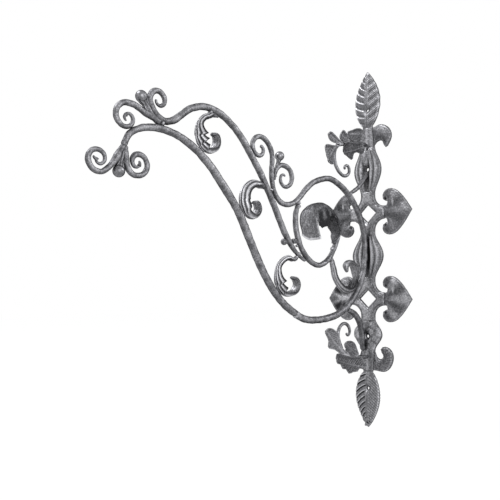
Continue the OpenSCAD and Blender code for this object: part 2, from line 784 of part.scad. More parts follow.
// Way from one place to another, through shares of the way out and the way up
function way(a, b, shares) = [for (k = shares) [mix(a[0], b[0], k[0]), mix(a[1], b[1], k[1])]];
upper_brace_path = smooth(way(
    ring_shoulder(127, ring_bar_d / 2 + 1.3),
    [pod_depth(0.18, 0.4, 0) + 1.6 + weld_gap, upper_pod_foot + 43],
    [[0, 0], [0.19, 0.11], [0.4, 0.25], [0.58, 0.45], [0.8, 0.75], [1, 1]]
), 8);
module upper_brace() {
    color(iron_dark)
        swept(
            upper_brace_path,
            [[0, brace_d / 2 - 2], [0.2, brace_d / 2], [0.75, brace_d / 2], [1, 2.5]],
            [[0, brace_d / 2 - 1], [0.75, brace_d / 2], [1, brace_d / 2 + 2]]
        );
}
brace_rest = pod_depth(-0.3, 0.34, lower_pod_dents) + brace_d / 2 + weld_gap;
lower_brace_head = ring_shoulder(237, ring_bar_d / 2 + 2.7);
lower_brace_foot = [brace_rest, lower_pod_foot + 18];
lower_brace_path = smooth(concat(
    way(lower_brace_head, lower_brace_foot, [
        [0, 0], [0.18, 0.04], [0.41, 0.16], [0.64, 0.33], [0.79, 0.52], [0.95, 0.75], [1, 1]
    ]),
    [[brace_rest - 4, lower_pod_foot - 2]]
), 10);
// It leans to the left on its way to the wall, so its foot clears the screw.
lower_brace_lean = lower_brace_side / (lower_brace_head[0] - brace_rest);
module lower_brace() {
    color(iron_dark)
        multmatrix([
            [1, -lower_brace_lean, 0, -lower_brace_lean * lower_brace_head[0]],
            [0, 1, 0, 0],
            [0, 0, 1, 0]
        ])
            swept(
                lower_brace_path,
                [[0, brace_d / 2 - 2], [0.2, brace_d / 2], [0.85, brace_d / 2], [1, 3]],
                [[0, brace_d / 2 - 1], [0.2, brace_d / 2], [1, brace_d / 2]]
            );
}

// Sprigs: a twig that stands out from each collar, with flat leaves on its
// side and a tendril. Leaf outlines are in the arm's plane.
twig_r = 4;
twig_lean = 12;
module in_arm_plane(t) {
    rotate([90, 0, -90])
        linear_extrude(t)
            children();
}
// A leaf welded to the side of the twig. It leans out from the height z, and
// lies on the twig (layer 0) or on another leaf (layer 1).
leaf_shift = 7;
module sprig_leaf(outline, z, lean, layer = 0) {
    translate([0, 0, z])
        rotate([0, lean, 0])
            translate([twig_r + (layer + 1) * (weld_gap + sprig_leaf_t), 0, -z])
                in_arm_plane(sprig_leaf_t)
                    translate([leaf_shift, 0])
                        polygon(smooth(outline, 8));
}
upper_twig_z = upper_collar_foot + 8;
function on_upper(list) = [for (p = list) [p[0] + plate_t - 7, p[1] + upper_twig_z - 260]];
upper_twig = smooth(concat(
    [[plate_face, upper_twig_z]],
    on_upper([[22, 260], [52, 257], [88, 251], [119, 243]])
), 14);
module upper_sprig_stem() {
    color(iron_dark)
        round_bar(upper_twig, [[0, 2 * twig_r], [1, 2 * twig_r]], 8);
}
module upper_sprig_long_leaf() {
    color(iron_dark)
        sprig_leaf(on_upper([
            [104, 243], [128, 243], [158, 250], [165, 259], [157, 266], [143, 263], [124, 255],
            [108, 250]
        ]), upper_twig_z - 17, twig_lean);
}
module upper_sprig_top_leaf() {
    color(iron_dark)
        sprig_leaf(on_upper([
            [98, 249], [108, 252], [118, 258], [117, 270], [110, 278], [98, 273], [86, 262], [80, 253]
        ]), upper_twig_z - 10, twig_lean);
}
module upper_sprig_blade() {
    color(iron_dark)
        sprig_leaf(on_upper([
            [58, 256], [74, 262], [91, 273], [73, 285], [51, 293], [37, 291], [27, 273], [30, 259]
        ]), upper_twig_z - 4, twig_lean);
}
module upper_sprig_lobed_leaf() {
    color(iron_dark)
        sprig_leaf(on_upper([
            [88, 250], [104, 242], [116, 231], [119, 213], [104, 210], [90, 204], [77, 221], [60, 228],
            [44, 226], [34, 240], [40, 251], [64, 252]
        ]), upper_twig_z - 5, -twig_lean, 1);
}
module upper_sprig_folded_leaf() {
    color(iron_dark)
        sprig_leaf(on_upper([
            [112, 239], [139, 233], [174, 226], [174, 210], [171, 184], [158, 184], [150, 206],
            [128, 230]
        ]), upper_twig_z - 17, -twig_lean);
}
upper_tendril_path = smooth(concat(
    [onward(upper_twig, weld_gap), onward(upper_twig, 6)],
    on_upper([
        [130, 234], [136, 216], [132, 196], [119, 180], [103, 172], [88, 174], [78, 184], [79, 195],
        [88, 200], [97, 195], [96, 188]
    ])
), 9);
module upper_tendril() {
    color(iron_dark)
        round_bar(upper_tendril_path, [[0, tendril_d], [0.7, tendril_d], [1, tendril_d - 2]], 8);
}
lower_twig_z = lower_pod_foot - 20;
function on_lower(list) = [for (p = list) [p[0] + plate_t - 7, p[1] + lower_twig_z + 266]];
lower_twig = smooth(concat(
    [[plate_face, lower_twig_z]],
    on_lower([[20, -266], [48, -262], [78, -256], [98, -250]])
), 14);
module lower_sprig_stem() {
    color(iron_dark)
        round_bar(lower_twig, [[0, 2 * twig_r], [1, 2 * twig_r]], 8);
}
module lower_sprig_long_leaf() {
    color(iron_dark)
        sprig_leaf(on_lower([
            [88, -254], [118, -247], [140, -236], [166, -227], [168, -214], [177, -204], [192, -186],
            [172, -182], [152, -189], [134, -200], [128, -213], [118, -230], [96, -244]
        ]), lower_twig_z + 14, twig_lean);
}
module lower_sprig_top_leaf() {
    color(iron_dark)
        sprig_leaf(on_lower([
            [84, -256], [98, -238], [112, -224], [92, -217], [74, -222], [58, -240], [50, -258],
            [68, -261]
        ]), lower_twig_z + 6, twig_lean);
}
module lower_sprig_lobed_leaf() {
    color(iron_dark)
        sprig_leaf(on_lower([
            [46, -264], [80, -260], [104, -255], [142, -255], [140, -272], [126, -275], [119, -286],
            [106, -288], [98, -299], [84, -297], [69, -297], [60, -290], [48, -294], [36, -288]
        ]), lower_twig_z + 11, -twig_lean, 1);
}
lower_tendril_path = smooth(concat(
    [onward(lower_twig, weld_gap), onward(lower_twig, 6)],
    on_lower([
        [108, -240], [118, -222], [123, -207], [120, -192], [108, -181], [93, -180], [81, -189],
        [78, -203], [85, -211], [92, -203]
    ])
), 9);
module lower_tendril() {
    color(iron_dark)
        round_bar(lower_tendril_path, [[0, tendril_d], [0.7, tendril_d], [1, tendril_d - 2]], 8);
}

top_leaf();
upper_collar();
upper_petal_right();
upper_petal_left();
upper_pod();
upper_cross();
upper_spade_right();
upper_spade_left();
middle_pod();
lower_cross();
lower_spade_right();
lower_spade_left();
lower_pod();
lower_collar();
lower_petal_right();
lower_petal_left();
bottom_leaf();
tip_bead();
lower_bar();
ring_bar();
upper_bar();
loop_bar();
end_scroll_outer();
end_scroll_inner();
crest_scroll();
mid_scroll();
end_ball();
crest_ball();
mid_ball();
acanthus_1();
acanthus_2();
acanthus_3();
acanthus_4();
curled_leaf();
tie_knob();
tie_spacer();
upper_brace();
lower_brace();
upper_sprig_stem();
upper_sprig_long_leaf();
upper_sprig_top_leaf();
upper_sprig_blade();
upper_sprig_lobed_leaf();
upper_sprig_folded_leaf();
upper_tendril();
lower_sprig_stem();
lower_sprig_long_leaf();
lower_sprig_top_leaf();
lower_sprig_lobed_leaf();
lower_tendril();
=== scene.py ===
import json
import math
import bpy
import bmesh
from mathutils import Vector, Matrix, kdtree, noise
from mathutils.geometry import interpolate_bezier


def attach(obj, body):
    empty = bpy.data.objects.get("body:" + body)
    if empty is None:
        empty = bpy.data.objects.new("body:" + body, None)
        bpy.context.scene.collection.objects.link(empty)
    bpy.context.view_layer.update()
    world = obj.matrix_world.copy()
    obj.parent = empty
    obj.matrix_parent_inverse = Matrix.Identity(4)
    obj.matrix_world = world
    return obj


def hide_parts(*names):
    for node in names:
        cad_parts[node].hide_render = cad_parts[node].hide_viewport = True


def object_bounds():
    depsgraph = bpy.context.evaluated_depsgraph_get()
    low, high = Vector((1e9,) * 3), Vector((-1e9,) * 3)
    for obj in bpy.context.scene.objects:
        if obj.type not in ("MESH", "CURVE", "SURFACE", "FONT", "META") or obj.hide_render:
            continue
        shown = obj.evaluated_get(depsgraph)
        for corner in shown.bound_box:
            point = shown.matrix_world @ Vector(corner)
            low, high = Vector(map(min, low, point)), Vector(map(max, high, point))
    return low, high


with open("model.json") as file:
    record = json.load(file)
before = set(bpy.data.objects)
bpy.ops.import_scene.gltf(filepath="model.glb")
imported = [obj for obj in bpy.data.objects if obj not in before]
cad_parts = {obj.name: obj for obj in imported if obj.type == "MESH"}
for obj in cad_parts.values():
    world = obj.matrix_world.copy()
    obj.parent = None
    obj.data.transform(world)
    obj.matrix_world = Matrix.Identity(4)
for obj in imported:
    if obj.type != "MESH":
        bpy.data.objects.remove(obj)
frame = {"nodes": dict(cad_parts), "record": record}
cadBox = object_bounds()
slotOf = {part["node"]: part["material_slot"] for part in frame["record"]["subparts"]}
print("stage: frame loaded")


def mix(a, b, t):
    return a + (b - a) * t


def clamp(x):
    return max(0.0, min(1.0, x))


def ease(low, high, x):
    t = clamp((x - low) / (high - low))
    return t * t * (3 - 2 * t)


def hump(x, centre, width):
    return math.exp(-((x - centre) / width) ** 2)


def along(table, x):
    for (x0, y0), (x1, y1) in zip(table, table[1:]):
        if x <= x1:
            return mix(y0, y1, ease(x0, x1, x))
    return table[-1][1]


def summed(shares, *parts):
    # a plain value with a share of each part added to it
    total = shares[0]
    for share, part in zip(shares[1:], parts):
        total += share * part
    return total


def grain(place, size, seed=0.0):
    # soft noise from -1 to 1, with lumps of the given size in metres
    return noise.noise(place / size + Vector((seed, seed * 1.7, seed * 0.3)))


# materials
def srgb(code):
    parts = [int(code[i:i + 2], 16) / 255 for i in (1, 3, 5)]
    return [c / 12.92 if c <= 0.04045 else ((c + 0.055) / 1.055) ** 2.4 for c in parts] + [1.0]


def addNode(tree, kind, links=None, **settings):
    node = tree.nodes.new(kind)
    for key, value in settings.items():
        if key in node.inputs:
            node.inputs[key].default_value = value
        else:
            setattr(node, key, value)
    for key, source in (links or {}).items():
        tree.links.new(source, node.inputs[key])
    return node


def emptyTree(owner):
    owner.use_nodes = True
    owner.node_tree.nodes.clear()
    return owner.node_tree


def ramp(tree, source, stops):
    node = addNode(tree, "ShaderNodeValToRGB", {"Fac": source})
    while len(node.color_ramp.elements) < len(stops):
        node.color_ramp.elements.new(0.5)
    for element, (place, colour) in zip(node.color_ramp.elements, stops):
        element.position = place
        element.color = srgb(colour) if isinstance(colour, str) else (colour, colour, colour, 1)
    return node.outputs["Color"]


def scaled(tree, source, share, shift=0.0):
    node = addNode(tree, "ShaderNodeMath", {0: source}, operation="MULTIPLY_ADD")
    node.inputs[1].default_value = share
    node.inputs[2].default_value = shift
    return node.outputs[0]


def blended(tree, first, second, share):
    # the first value, moved by how far the second one lies from a half
    part = scaled(tree, second, share, -0.5 * share)
    return addNode(tree, "ShaderNodeMath", {0: first, 1: part}, operation="ADD").outputs[0]


def ironMaterial(name, look):
    # iron with a dark patina in its hollows and rubbed metal on its crests: a piece's attribute
    # holds 0 in a hollow and 1 on a crest, and on some pieces it also carries painted highlights
    # and painted shade
    material = bpy.data.materials.new(name)
    tree = emptyTree(material)
    place = addNode(tree, "ShaderNodeTexCoord").outputs["Object"]
    wearAndLight = addNode(tree, "ShaderNodeAttribute", attribute_name="wearAndLight").outputs["Fac"]
    blotch = addNode(tree, "ShaderNodeTexNoise", {"Vector": place},
                     Scale=1 / look["blotch"], Detail=4.0, Roughness=0.6).outputs["Fac"]
    grit = addNode(tree, "ShaderNodeTexNoise", {"Vector": place},
                   Scale=1 / look["grit"], Detail=2.0, Roughness=0.6).outputs["Fac"]
    wornAndLit = scaled(tree, wearAndLight, look["wearAndLightShare"], 0.5 - 0.5 * look["wearAndLightShare"])
    wornAndLit = blended(tree, wornAndLit, blotch, look["blotchShare"])
    wornAndLit = blended(tree, wornAndLit, grit, look["gritShare"])
    colour = ramp(tree, wornAndLit, look["colours"])
    rough = ramp(tree, wornAndLit, look["roughness"])
    bump = addNode(tree, "ShaderNodeBump", {"Height": grit},
                   Strength=look["bump"], Distance=look["grit"] * 0.4)
    shader = addNode(tree, "ShaderNodeBsdfPrincipled", {
        "Base Color": colour, "Roughness": rough, "Normal": bump.outputs["Normal"],
    }, Metallic=look["metallic"])
    shader.inputs["Specular Tint"].default_value = srgb(look["edge"])
    addNode(tree, "ShaderNodeOutputMaterial", {"Surface": shader.outputs["BSDF"]})
    return material


# Sizes are metres: blotches of forge scale are 12 to 26 mm, and the grit of the
# hammered, brushed finish is drawn at 3 mm, coarser than the real 0.3 mm, so it shows
ironLooks = {
    # forged mild steel bar, hammered and waxed: dark grey with a soft long gleam
    "forged_bar": {
        "colours": [(0.1, "#363638"), (0.5, "#707073"), (0.9, "#aeaeb2")],
        "roughness": [(0.2, 0.58), (0.8, 0.42)],
        "blotch": 0.02, "grit": 0.003, "wearAndLightShare": 0.8, "blotchShare": 0.2,
        "gritShare": 0.8, "bump": 0.45, "metallic": 0.96, "edge": "#242424",
    },
    # filed plate iron, satin patina: mid grey, brighter on its rounded crowns
    "plate_iron": {
        "colours": [(0.1, "#3c3c3e"), (0.5, "#838386"), (0.9, "#c4c4c8")],
        "roughness": [(0.2, 0.52), (0.8, 0.34)],
        "blotch": 0.026, "grit": 0.003, "wearAndLightShare": 0.8, "blotchShare": 0.25,
        "gritShare": 1.1, "bump": 0.4, "metallic": 0.9, "edge": "#303030",
    },
    # chased and rubbed leaf iron: dark veins between bright crests
    "chased_leaf": {
        "colours": [(0.08, "#2e2e30"), (0.5, "#757578"), (0.92, "#c8c8cc")],
        "roughness": [(0.2, 0.56), (0.8, 0.4)],
        "blotch": 0.018, "grit": 0.0028, "wearAndLightShare": 1.0, "blotchShare": 0.2,
        "gritShare": 0.8, "bump": 0.4, "metallic": 0.9, "edge": "#303030",
    },
    # thin sheet iron leaves, blackened and rubbed on their folds: nearly matt
    "sprig_sheet": {
        "colours": [(0.1, "#363638"), (0.5, "#77777a"), (0.9, "#b8b8bc")],
        "roughness": [(0.2, 0.56), (0.8, 0.38)],
        "blotch": 0.012, "grit": 0.0028, "wearAndLightShare": 0.9, "blotchShare": 0.3,
        "gritShare": 1.0, "bump": 0.45, "metallic": 0.85, "edge": "#303030",
    },
    # forged ball, rubbed smooth: the brightest spots of the arm
    "forged_ball": {
        "colours": [(0.1, "#404042"), (0.5, "#78787b"), (0.9, "#acacb0")],
        "roughness": [(0.2, 0.4), (0.8, 0.26)],
        "blotch": 0.012, "grit": 0.003, "wearAndLightShare": 0.5, "blotchShare": 0.5,
        "gritShare": 0.5, "bump": 0.25, "metallic": 0.96, "edge": "#202020",
    },
}
irons = {name: ironMaterial(name + "_finish", look) for name, look in ironLooks.items()}
print("stage: materials made")


# mesh helpers
def placed(name, data):
    # a new object in the scene, whose data may be a bmesh
    if isinstance(data, bmesh.types.BMesh):
        bm, data = data, bpy.data.meshes.new(name)
        bm.to_mesh(data)
        bm.free()
    thing = bpy.data.objects.new(name, data)
    bpy.context.scene.collection.objects.link(thing)
    return thing


def evaluated(bm, change):
    # runs a modifier over a bmesh and hands back the result as a new bmesh
    piece = placed("working", bm)
    mesh = piece.data
    change(piece)
    shown = piece.evaluated_get(bpy.context.evaluated_depsgraph_get())
    result = bmesh.new()
    result.from_mesh(shown.to_mesh())
    shown.to_mesh_clear()
    bpy.data.objects.remove(piece)
    bpy.data.meshes.remove(mesh)
    return result


def rounded(bm, levels=1):
    def change(piece):
        soft = piece.modifiers.new("soft", "SUBSURF")
        soft.levels = soft.render_levels = levels
    return evaluated(bm, change)


def drilled(bm, z, width):
    # a screw hole at height z on the plate's middle line, in mm
    drill = bmesh.new()
    bmesh.ops.create_cone(drill, cap_ends=True, segments=24, radius1=width / 2000,
                          radius2=width / 2000, depth=0.08)
    bmesh.ops.rotate(drill, verts=drill.verts, matrix=Matrix.Rotation(math.pi / 2, 3, "X"))
    bmesh.ops.translate(drill, verts=drill.verts, vec=(0, 0, z / 1000))
    tool = placed("drill", drill)

    def change(piece):
        cut = piece.modifiers.new("hole", "BOOLEAN")
        cut.operation = "DIFFERENCE"
        cut.object = tool
    result = evaluated(bm, change)
    bpy.data.objects.remove(tool)
    return result


def finishPiece(bm, name, nodes, slot=None):
    piece = placed(name, bm)
    piece.data.polygons.foreach_set("use_smooth", [True] * len(piece.data.polygons))
    slot = slot or slotOf[nodes[0]]
    piece.data.materials.append(irons[slot])
    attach(piece, "root")
    if nodes:
        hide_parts(*nodes)


def nodeCopy(node):
    bm = bmesh.new()
    bm.from_mesh(frame["nodes"][node].data)
    bmesh.ops.remove_doubles(bm, verts=bm.verts, dist=1e-6)
    return bm


def wearAndLightLayer(bm):
    layers = bm.verts.layers.float
    return layers.get("wearAndLight") or layers.new("wearAndLight")


def closedSheet(bm, columns, rows, shape):
    # adds a closed sheet to bm: shape(u, v, side) gives a place in mm and its tone, with u
    # across from -1 to 1, v along from 0 to 1, and side 1 in front and -1 behind
    wearAndLight = wearAndLightLayer(bm)
    facing = bmesh.ops.create_grid(bm, x_segments=columns, y_segments=rows, size=1)["verts"]
    made = bmesh.ops.extrude_face_region(bm, geom=list({f for v in facing for f in v.link_faces}))
    behind = [item for item in made["geom"] if isinstance(item, bmesh.types.BMVert)]
    for verts, side in ((facing, 1), (behind, -1)):
        for vert in verts:
            place, wornAndLit = shape(vert.co.x, (vert.co.y + 1) / 2, side)
            vert.co = Vector(place) / 1000
            vert[wearAndLight] = clamp(wornAndLit)
    # both faces meet where they touch, and the shell is turned outwards
    bmesh.ops.remove_doubles(bm, verts=facing + behind, dist=1e-7)
    shell = list({face for vert in facing + behind if vert.is_valid for face in vert.link_faces})
    bmesh.ops.recalc_face_normals(bm, faces=shell)
    if sum(face.calc_center_median().dot(face.normal) * face.calc_area() for face in shell) < 0:
        bmesh.ops.reverse_faces(bm, faces=shell)
    return bm


def plated(face):
    # the shape of a sheet with that front face, whose back lies flat on the wall
    def shape(u, v, side):
        (x, y, z), wearAndLight = face(u, v)
        return ((x, y, z), wearAndLight) if side > 0 else ((x, 0.0, z), 0.3)
    return shape


def arched(u, full=0.97):
    # 1 in the middle of a rounded section, falling to its sides
    return math.sqrt(max(0.0, 1 - (full * u) ** 2))


def wayOf(points, count):
    # places at equal steps on a smooth way through points in the arm's plane, which are
    # [distance from the wall, height] in mm
    knots = [Vector((s, z, 0)) for s, z in points]
    dense = []
    for k in range(len(knots) - 1):
        a, b = knots[k], knots[k + 1]
        out = (b - knots[max(k - 1, 0)]) / (6 if k else 3)
        home = (knots[min(k + 2, len(knots) - 1)] - a) / (6 if k + 2 < len(knots) else 3)
        dense += interpolate_bezier(a, a + out, b - home, b, 14)[:-1]
    dense.append(knots[-1])
    marks = [0.0]
    for a, b in zip(dense, dense[1:]):
        marks.append(marks[-1] + (b - a).length)
    places, at = [], 0
    for k in range(count + 1):
        goal = marks[-1] * k / count
        while at < len(dense) - 2 and marks[at + 1] < goal:
            at += 1
        share = (goal - marks[at]) / max(1e-9, marks[at + 1] - marks[at])
        places.append(dense[at].lerp(dense[at + 1], share))
    return places


def wayAt(places, v):
    # the place at share v of a way, and the direction square to it
    x = v * (len(places) - 1)
    k = min(int(x), len(places) - 2)
    centre = places[k].lerp(places[k + 1], x - k)
    ahead = places[min(k + 2, len(places) - 1)] - places[max(k - 1, 0)]
    ahead.normalize()
    return centre, Vector((-ahead.y, ahead.x, 0))


def armDistance(place, s, z):
    # mm from a spot in the arm's plane
    return math.hypot(-place.y * 1000 - s, place.z * 1000 - z)


# bars: the CAD's swept bars, rounded and hammered
bars = {
    "nodes": ["lower_bar", "ring_bar", "upper_bar", "loop_bar", "end_scroll_outer",
              "end_scroll_inner", "crest_scroll", "mid_scroll", "upper_brace", "lower_brace"],
    "thinNodes": ["upper_sprig_stem", "upper_tendril", "lower_sprig_stem", "lower_tendril"],
    "dent": 0.5, "dentSize": 12, "dentEdge": 1.3, "wave": 0.4, "waveSize": 45,
    # share of the dents and waves, and growth
    "relief": (1.0, 0.35), "thinRelief": (0.5, 0.8),
    # tone: plain, and its rise on dent rims, waves, and as painted highlights on the flanks and the
    # upper side
    "tones": (0.36, 0.18, 0.1, 0.24, 0.06),
    # spirals draw out thin round their eyes, at [distance from the wall, height]
    "eyes": {"end_scroll_outer": (742, 114.4), "end_scroll_inner": (670.5, 119.9),
             "crest_scroll": (690, 193.8), "mid_scroll": (304.4, 139.8), "upper_bar": (626, 236.2)},
    "eyeTaper": 1.3, "eyeReach": (5, 25),
    # bars swell at the forks and are darkened there with painted shade: place, full and last
    # distance, growth
    "swells": {
        "lower_bar": (694, 143.9, 5, 14, 0.5), "end_scroll_outer": (694, 143.9, 16, 44, 1.7),
        "end_scroll_inner": (694, 143.9, 16, 44, 1.5), "crest_scroll": (634, 199.5, 14, 44, 0.7),
        "upper_bar": (634, 199.5, 14, 40, 0),
    },
    "swellShade": 0.16,
    # thin hooked ends inside the eyes, and where and how long they round off
    "hooks": {
        "end_scroll_outer": [(744.5, 112.6), (746.6, 114.2), (749.8, 116), (751.9, 119.2)],
        "end_scroll_inner": [(665.6, 114.6), (664.8, 116.4), (664.3, 119.6), (666.2, 123)],
        "crest_scroll": [(690.4, 198), (692.4, 197), (694.6, 193.4), (693.4, 189.4),
                         (690.6, 186.8)],
    },
    "hookThick": (3.7, 1.5), "hookRound": (0.85, 0.15), "hookTone": 0.45,
    # the lower brace is stouter than its CAD bar and bows to the right
    "stout": {"lower_brace": 2.2}, "bow": {"lower_brace": 6}, "bowFrom": (8, 78),
    # iron hammered in where bars meet in a fork: its way and its thickness
    "filler": {"crest_scroll": ([(649, 212), (640, 206.5), (631, 200.5), (622, 196.5)], (5, 6.4))},
    # bars drawn in at a fork: place, full and last distance, shift ahead and up
    "pinch": {
        "crest_scroll": (636, 200, 8, 34, -2.4, 2.2), "lower_bar": (697, 160, 10, 40, 3.2, 0),
    },
}


def hookOn(bm, points, thick):
    # a round bar along points: the thin end inside a spiral's eye, or a filler
    places = wayOf(points, 40)
    start, length = bars["hookRound"]

    def skin(u, v, side):
        centre, outward = wayAt(places, v)
        girth = mix(*thick, v) * math.sqrt(max(0.02, 1 - max(0.0, (v - start) / length) ** 2))
        spot = centre + outward * (side * girth * math.cos(u * math.pi / 2))
        return (girth * math.sin(u * math.pi / 2), -spot.x, spot.y), bars["hookTone"]
    closedSheet(bm, 14, 30, skin)


bowLow, bowHigh = bars["bowFrom"]
for node in bars["nodes"] + bars["thinNodes"]:
    bm = nodeCopy(node)
    bmesh.ops.join_triangles(bm, faces=bm.faces[:], angle_face_threshold=1.2,
                             angle_shape_threshold=1.6)
    sharp = bm.edges.layers.float.get("crease_edge") or bm.edges.layers.float.new("crease_edge")
    # the flat ends of a bar keep their edge
    for face in bm.faces:
        if len(face.verts) > 6:
            for edge in face.edges:
                edge[sharp] = 1.0
    bm = rounded(bm, 2)
    wearAndLight = wearAndLightLayer(bm)
    bm.normal_update()
    share, growth = bars["thinRelief" if node in bars["thinNodes"] else "relief"]
    for vert in bm.verts:
        near = noise.voronoi(vert.co * 1000 / bars["dentSize"])[0][0]
        dent = min(1.0, near * bars["dentEdge"]) * 2 - 1
        wave = grain(vert.co, bars["waveSize"] / 1000)
        # the flanks and the upper side of a bar are lightened as painted highlights
        flank = abs(vert.normal.x) ** 3
        vert[wearAndLight] = clamp(summed(bars["tones"], dent, wave, flank, vert.normal.z))
        push = share * (bars["dent"] * dent + bars["wave"] * wave) + growth
        push += bars["stout"].get(node, 0)
        if node in bars["eyes"]:
            away = armDistance(vert.co, *bars["eyes"][node])
            push -= bars["eyeTaper"] * (1 - ease(*bars["eyeReach"], away))
        if node in bars["swells"]:
            s, z, full, last, more = bars["swells"][node]
            swelled = 1 - ease(full, last, armDistance(vert.co, s, z))
            push += more * swelled
            # painted shade darkens the bar near the fork
            vert[wearAndLight] = max(0.0, vert[wearAndLight] - bars["swellShade"] * swelled)
        if node in bars["pinch"]:
            s, z, full, last, ahead, up = bars["pinch"][node]
            drawn = 1 - ease(full, last, armDistance(vert.co, s, z))
            vert.co += Vector((0, -ahead, up)) * (drawn / 1000)
        bowed = clamp((-vert.co.y * 1000 - bowLow) / (bowHigh - bowLow))
        vert.co += vert.normal * (push / 1000)
        vert.co.x += bars["bow"].get(node, 0) / 1000 * math.sin(math.pi * bowed)
    if node in bars["hooks"]:
        hookOn(bm, bars["hooks"][node], bars["hookThick"])
    if node in bars["filler"]:
        hookOn(bm, *bars["filler"][node])
    finishPiece(bm, "bar_" + node, [node])
print("stage: bars hammered")


# leaf finials: strong ribs on the left half, fine veins on the right one
leaves = {
    "length": 142, "width": 77, "neck": 30, "neckEnd": 0.05, "swell": 0.79, "endRise": 9,
    "rim": 4.2, "ridge": 6.5, "ridgeFall": 1.15, "seam": 1.3, "seamWidth": 1.6, "least": 1.8,
    "hole": 7, "holeRise": 46, "holeDepth": 2.4, "holeDip": 8,
    # ribs: their turn along a side, the groove between two, and the line beside it, which is
    # lightened as a painted highlight
    "ribTurn": (0.8, 1.15), "ribLevel": 0.6, "groove": 0.12, "line": (0.8, 0.09), "lineRise": 0.6,
    "ribFade": (0.05, 0.28), "neckFade": (0.02, 0.12), "notch": 0.03, "notchFrom": (0.7, 1.0),
    "lip": (0.92, 0.05), "lipRise": 0.5, "edge": (0.93, 1.0),
    "plain": 0.4, "veinTones": (-0.12, 0.22, 0.08), "lipTone": 0.25, "seamHighlight": 0.12,
    "top": {"foot": 302, "up": 1, "right": 0.94, "pitch": 17, "start": 0.35,
            "slopes": (0.12, 0.8), "rib": 1.2, "dark": 0.05, "bright": 0.42,
            "veinPitch": 21, "veinSlope": 0.6, "vein": 0.85, "hatch": 0.2, "tone": 0.42},
    "bottom": {"foot": -298, "up": -1, "right": 0.87, "pitch": 13.2, "start": 0.2,
               "slopes": (0.25, 1.0), "rib": 3.2, "dark": 0.65, "bright": 0.55,
               "veinPitch": 7.2, "veinSlope": 0.8, "vein": 0.75, "hatch": 0.0, "tone": 0.48},
}


def leafHalf(v):
    # half the width of a leaf at share v of its length
    if v < leaves["neckEnd"]:
        return leaves["neck"] / 2
    t = (v - leaves["neckEnd"]) / (1 - leaves["neckEnd"])
    swell = max(0.0, math.sin(math.pi * t ** leaves["swell"])) ** 0.9
    return max(0.8, mix(leaves["neck"] / 2 * (1 - t), leaves["width"] / 2, swell))


def leafPiece(name, node, look):
    def face(u, v):
        half = leafHalf(v) * (look["right"] if u > 0 else 1.0)
        x, h, side = abs(u) * half, v * leaves["length"], abs(u)
        ends = min(1, v * leaves["endRise"], (1 - v) * leaves["endRise"])
        if u < 0:
            slope = mix(*look["slopes"], v) * x * mix(*leaves["ribTurn"], side)
            part = ((h - slope) / look["pitch"] + look["start"]) % 1
            crest = 1 - hump(min(part, 1 - part), 0, leaves["groove"])
            line = hump(part, *leaves["line"])
            rib = look["rib"] * (crest - leaves["ribLevel"]) + leaves["lineRise"] * line
            # the line beside each rib gets a painted highlight, and the grooves a dark patina
            wornAndLit = look["tone"] + look["bright"] * line - look["dark"] * (1 - crest)
        else:
            phase = (h - look["veinSlope"] * x) / look["veinPitch"]
            crest = 0.5 - 0.5 * math.cos(2 * math.pi * phase)
            hatch = math.cos(8 * math.pi * phase)
            rib = look["vein"] * (crest - 0.5) + look["hatch"] * hatch
            wornAndLit = look["tone"] + summed(leaves["veinTones"], crest, hatch)
        fade = ease(*leaves["ribFade"], side) * ease(*leaves["neckFade"], v)
        lip = hump(side, *leaves["lip"])
        edge = 1 - ease(*leaves["edge"], side)
        ridge = (leaves["ridge"] * (1 - side) ** leaves["ridgeFall"]
                 - leaves["seam"] * hump(x, 0.0, leaves["seamWidth"]))
        depth = (leaves["rim"] * mix(0.5, 1, edge)
                 + (ridge + (rib * fade + leaves["lipRise"] * lip) * edge) * ends)
        away = math.hypot(x, h - leaves["holeRise"])
        depth = mix(depth, leaves["holeDepth"], hump(away, 0, leaves["holeDip"]))
        notch = 1 - leaves["notch"] * (1 - crest) * ease(*leaves["notchFrom"], side) * ends
        # both edges of the seam beside the midrib get a painted highlight
        wearAndLight = (mix(leaves["plain"], wornAndLit, fade) + leaves["lipTone"] * lip
                + leaves["seamHighlight"] * hump(x, 3, 2.5))
        return (math.copysign(x, u) * notch, -max(leaves["least"], depth),
                look["foot"] + look["up"] * h), wearAndLight

    bm = closedSheet(bmesh.new(), 72, 140, plated(face))
    bm = drilled(bm, look["foot"] + look["up"] * leaves["holeRise"], leaves["hole"])
    finishPiece(bm, name, [node])


leafPiece("topLeaf", "top_leaf", leaves["top"])
leafPiece("bottomLeaf", "bottom_leaf", leaves["bottom"])
print("stage: leaf finials chased")


# pods: two are fluted, the upper one with a raised tongue, and the lower one is knobbly
pods = {
    "stem": 20, "base": 7, "crown": 6.5, "ridge": 2.7, "weldLap": 1.2, "least": 2.0,
    "swell": 1.6, "rise": 0.9, "rimShare": 0.62, "rimReach": 1.6,
    "holeDepth": 3, "holeDip": 8, "drill": 9,
    # height of the flutes from the middle to the rim
    "profile": [(0, -1.7), (0.16, -1.5), (0.4, 0.8), (0.58, -0.35), (0.74, 0.75), (0.9, -0.1),
                (1, 0)],
    "plain": 0.4, "foldTones": (0.42, 0.6),
    "tongueAt": -1.5, "tongueWidths": (3.0, 13.0), "tongueTone": 0.55,
    "upper": {"node": "upper_pod", "foot": 142, "height": 110, "width": 77, "hole": 58,
              "tongue": 8},
    "middle": {"node": "middle_pod", "foot": -70, "height": 108, "width": 88, "tongue": 0},
    "lower": {"node": "lower_pod", "foot": -246, "height": 72, "width": 80, "hole": 31,
              "knob": 3.4, "knobSize": 17, "knobLevel": 0.55, "knobFall": 1.9,
              "tone": 0.51, "knobTone": 0.5},
}


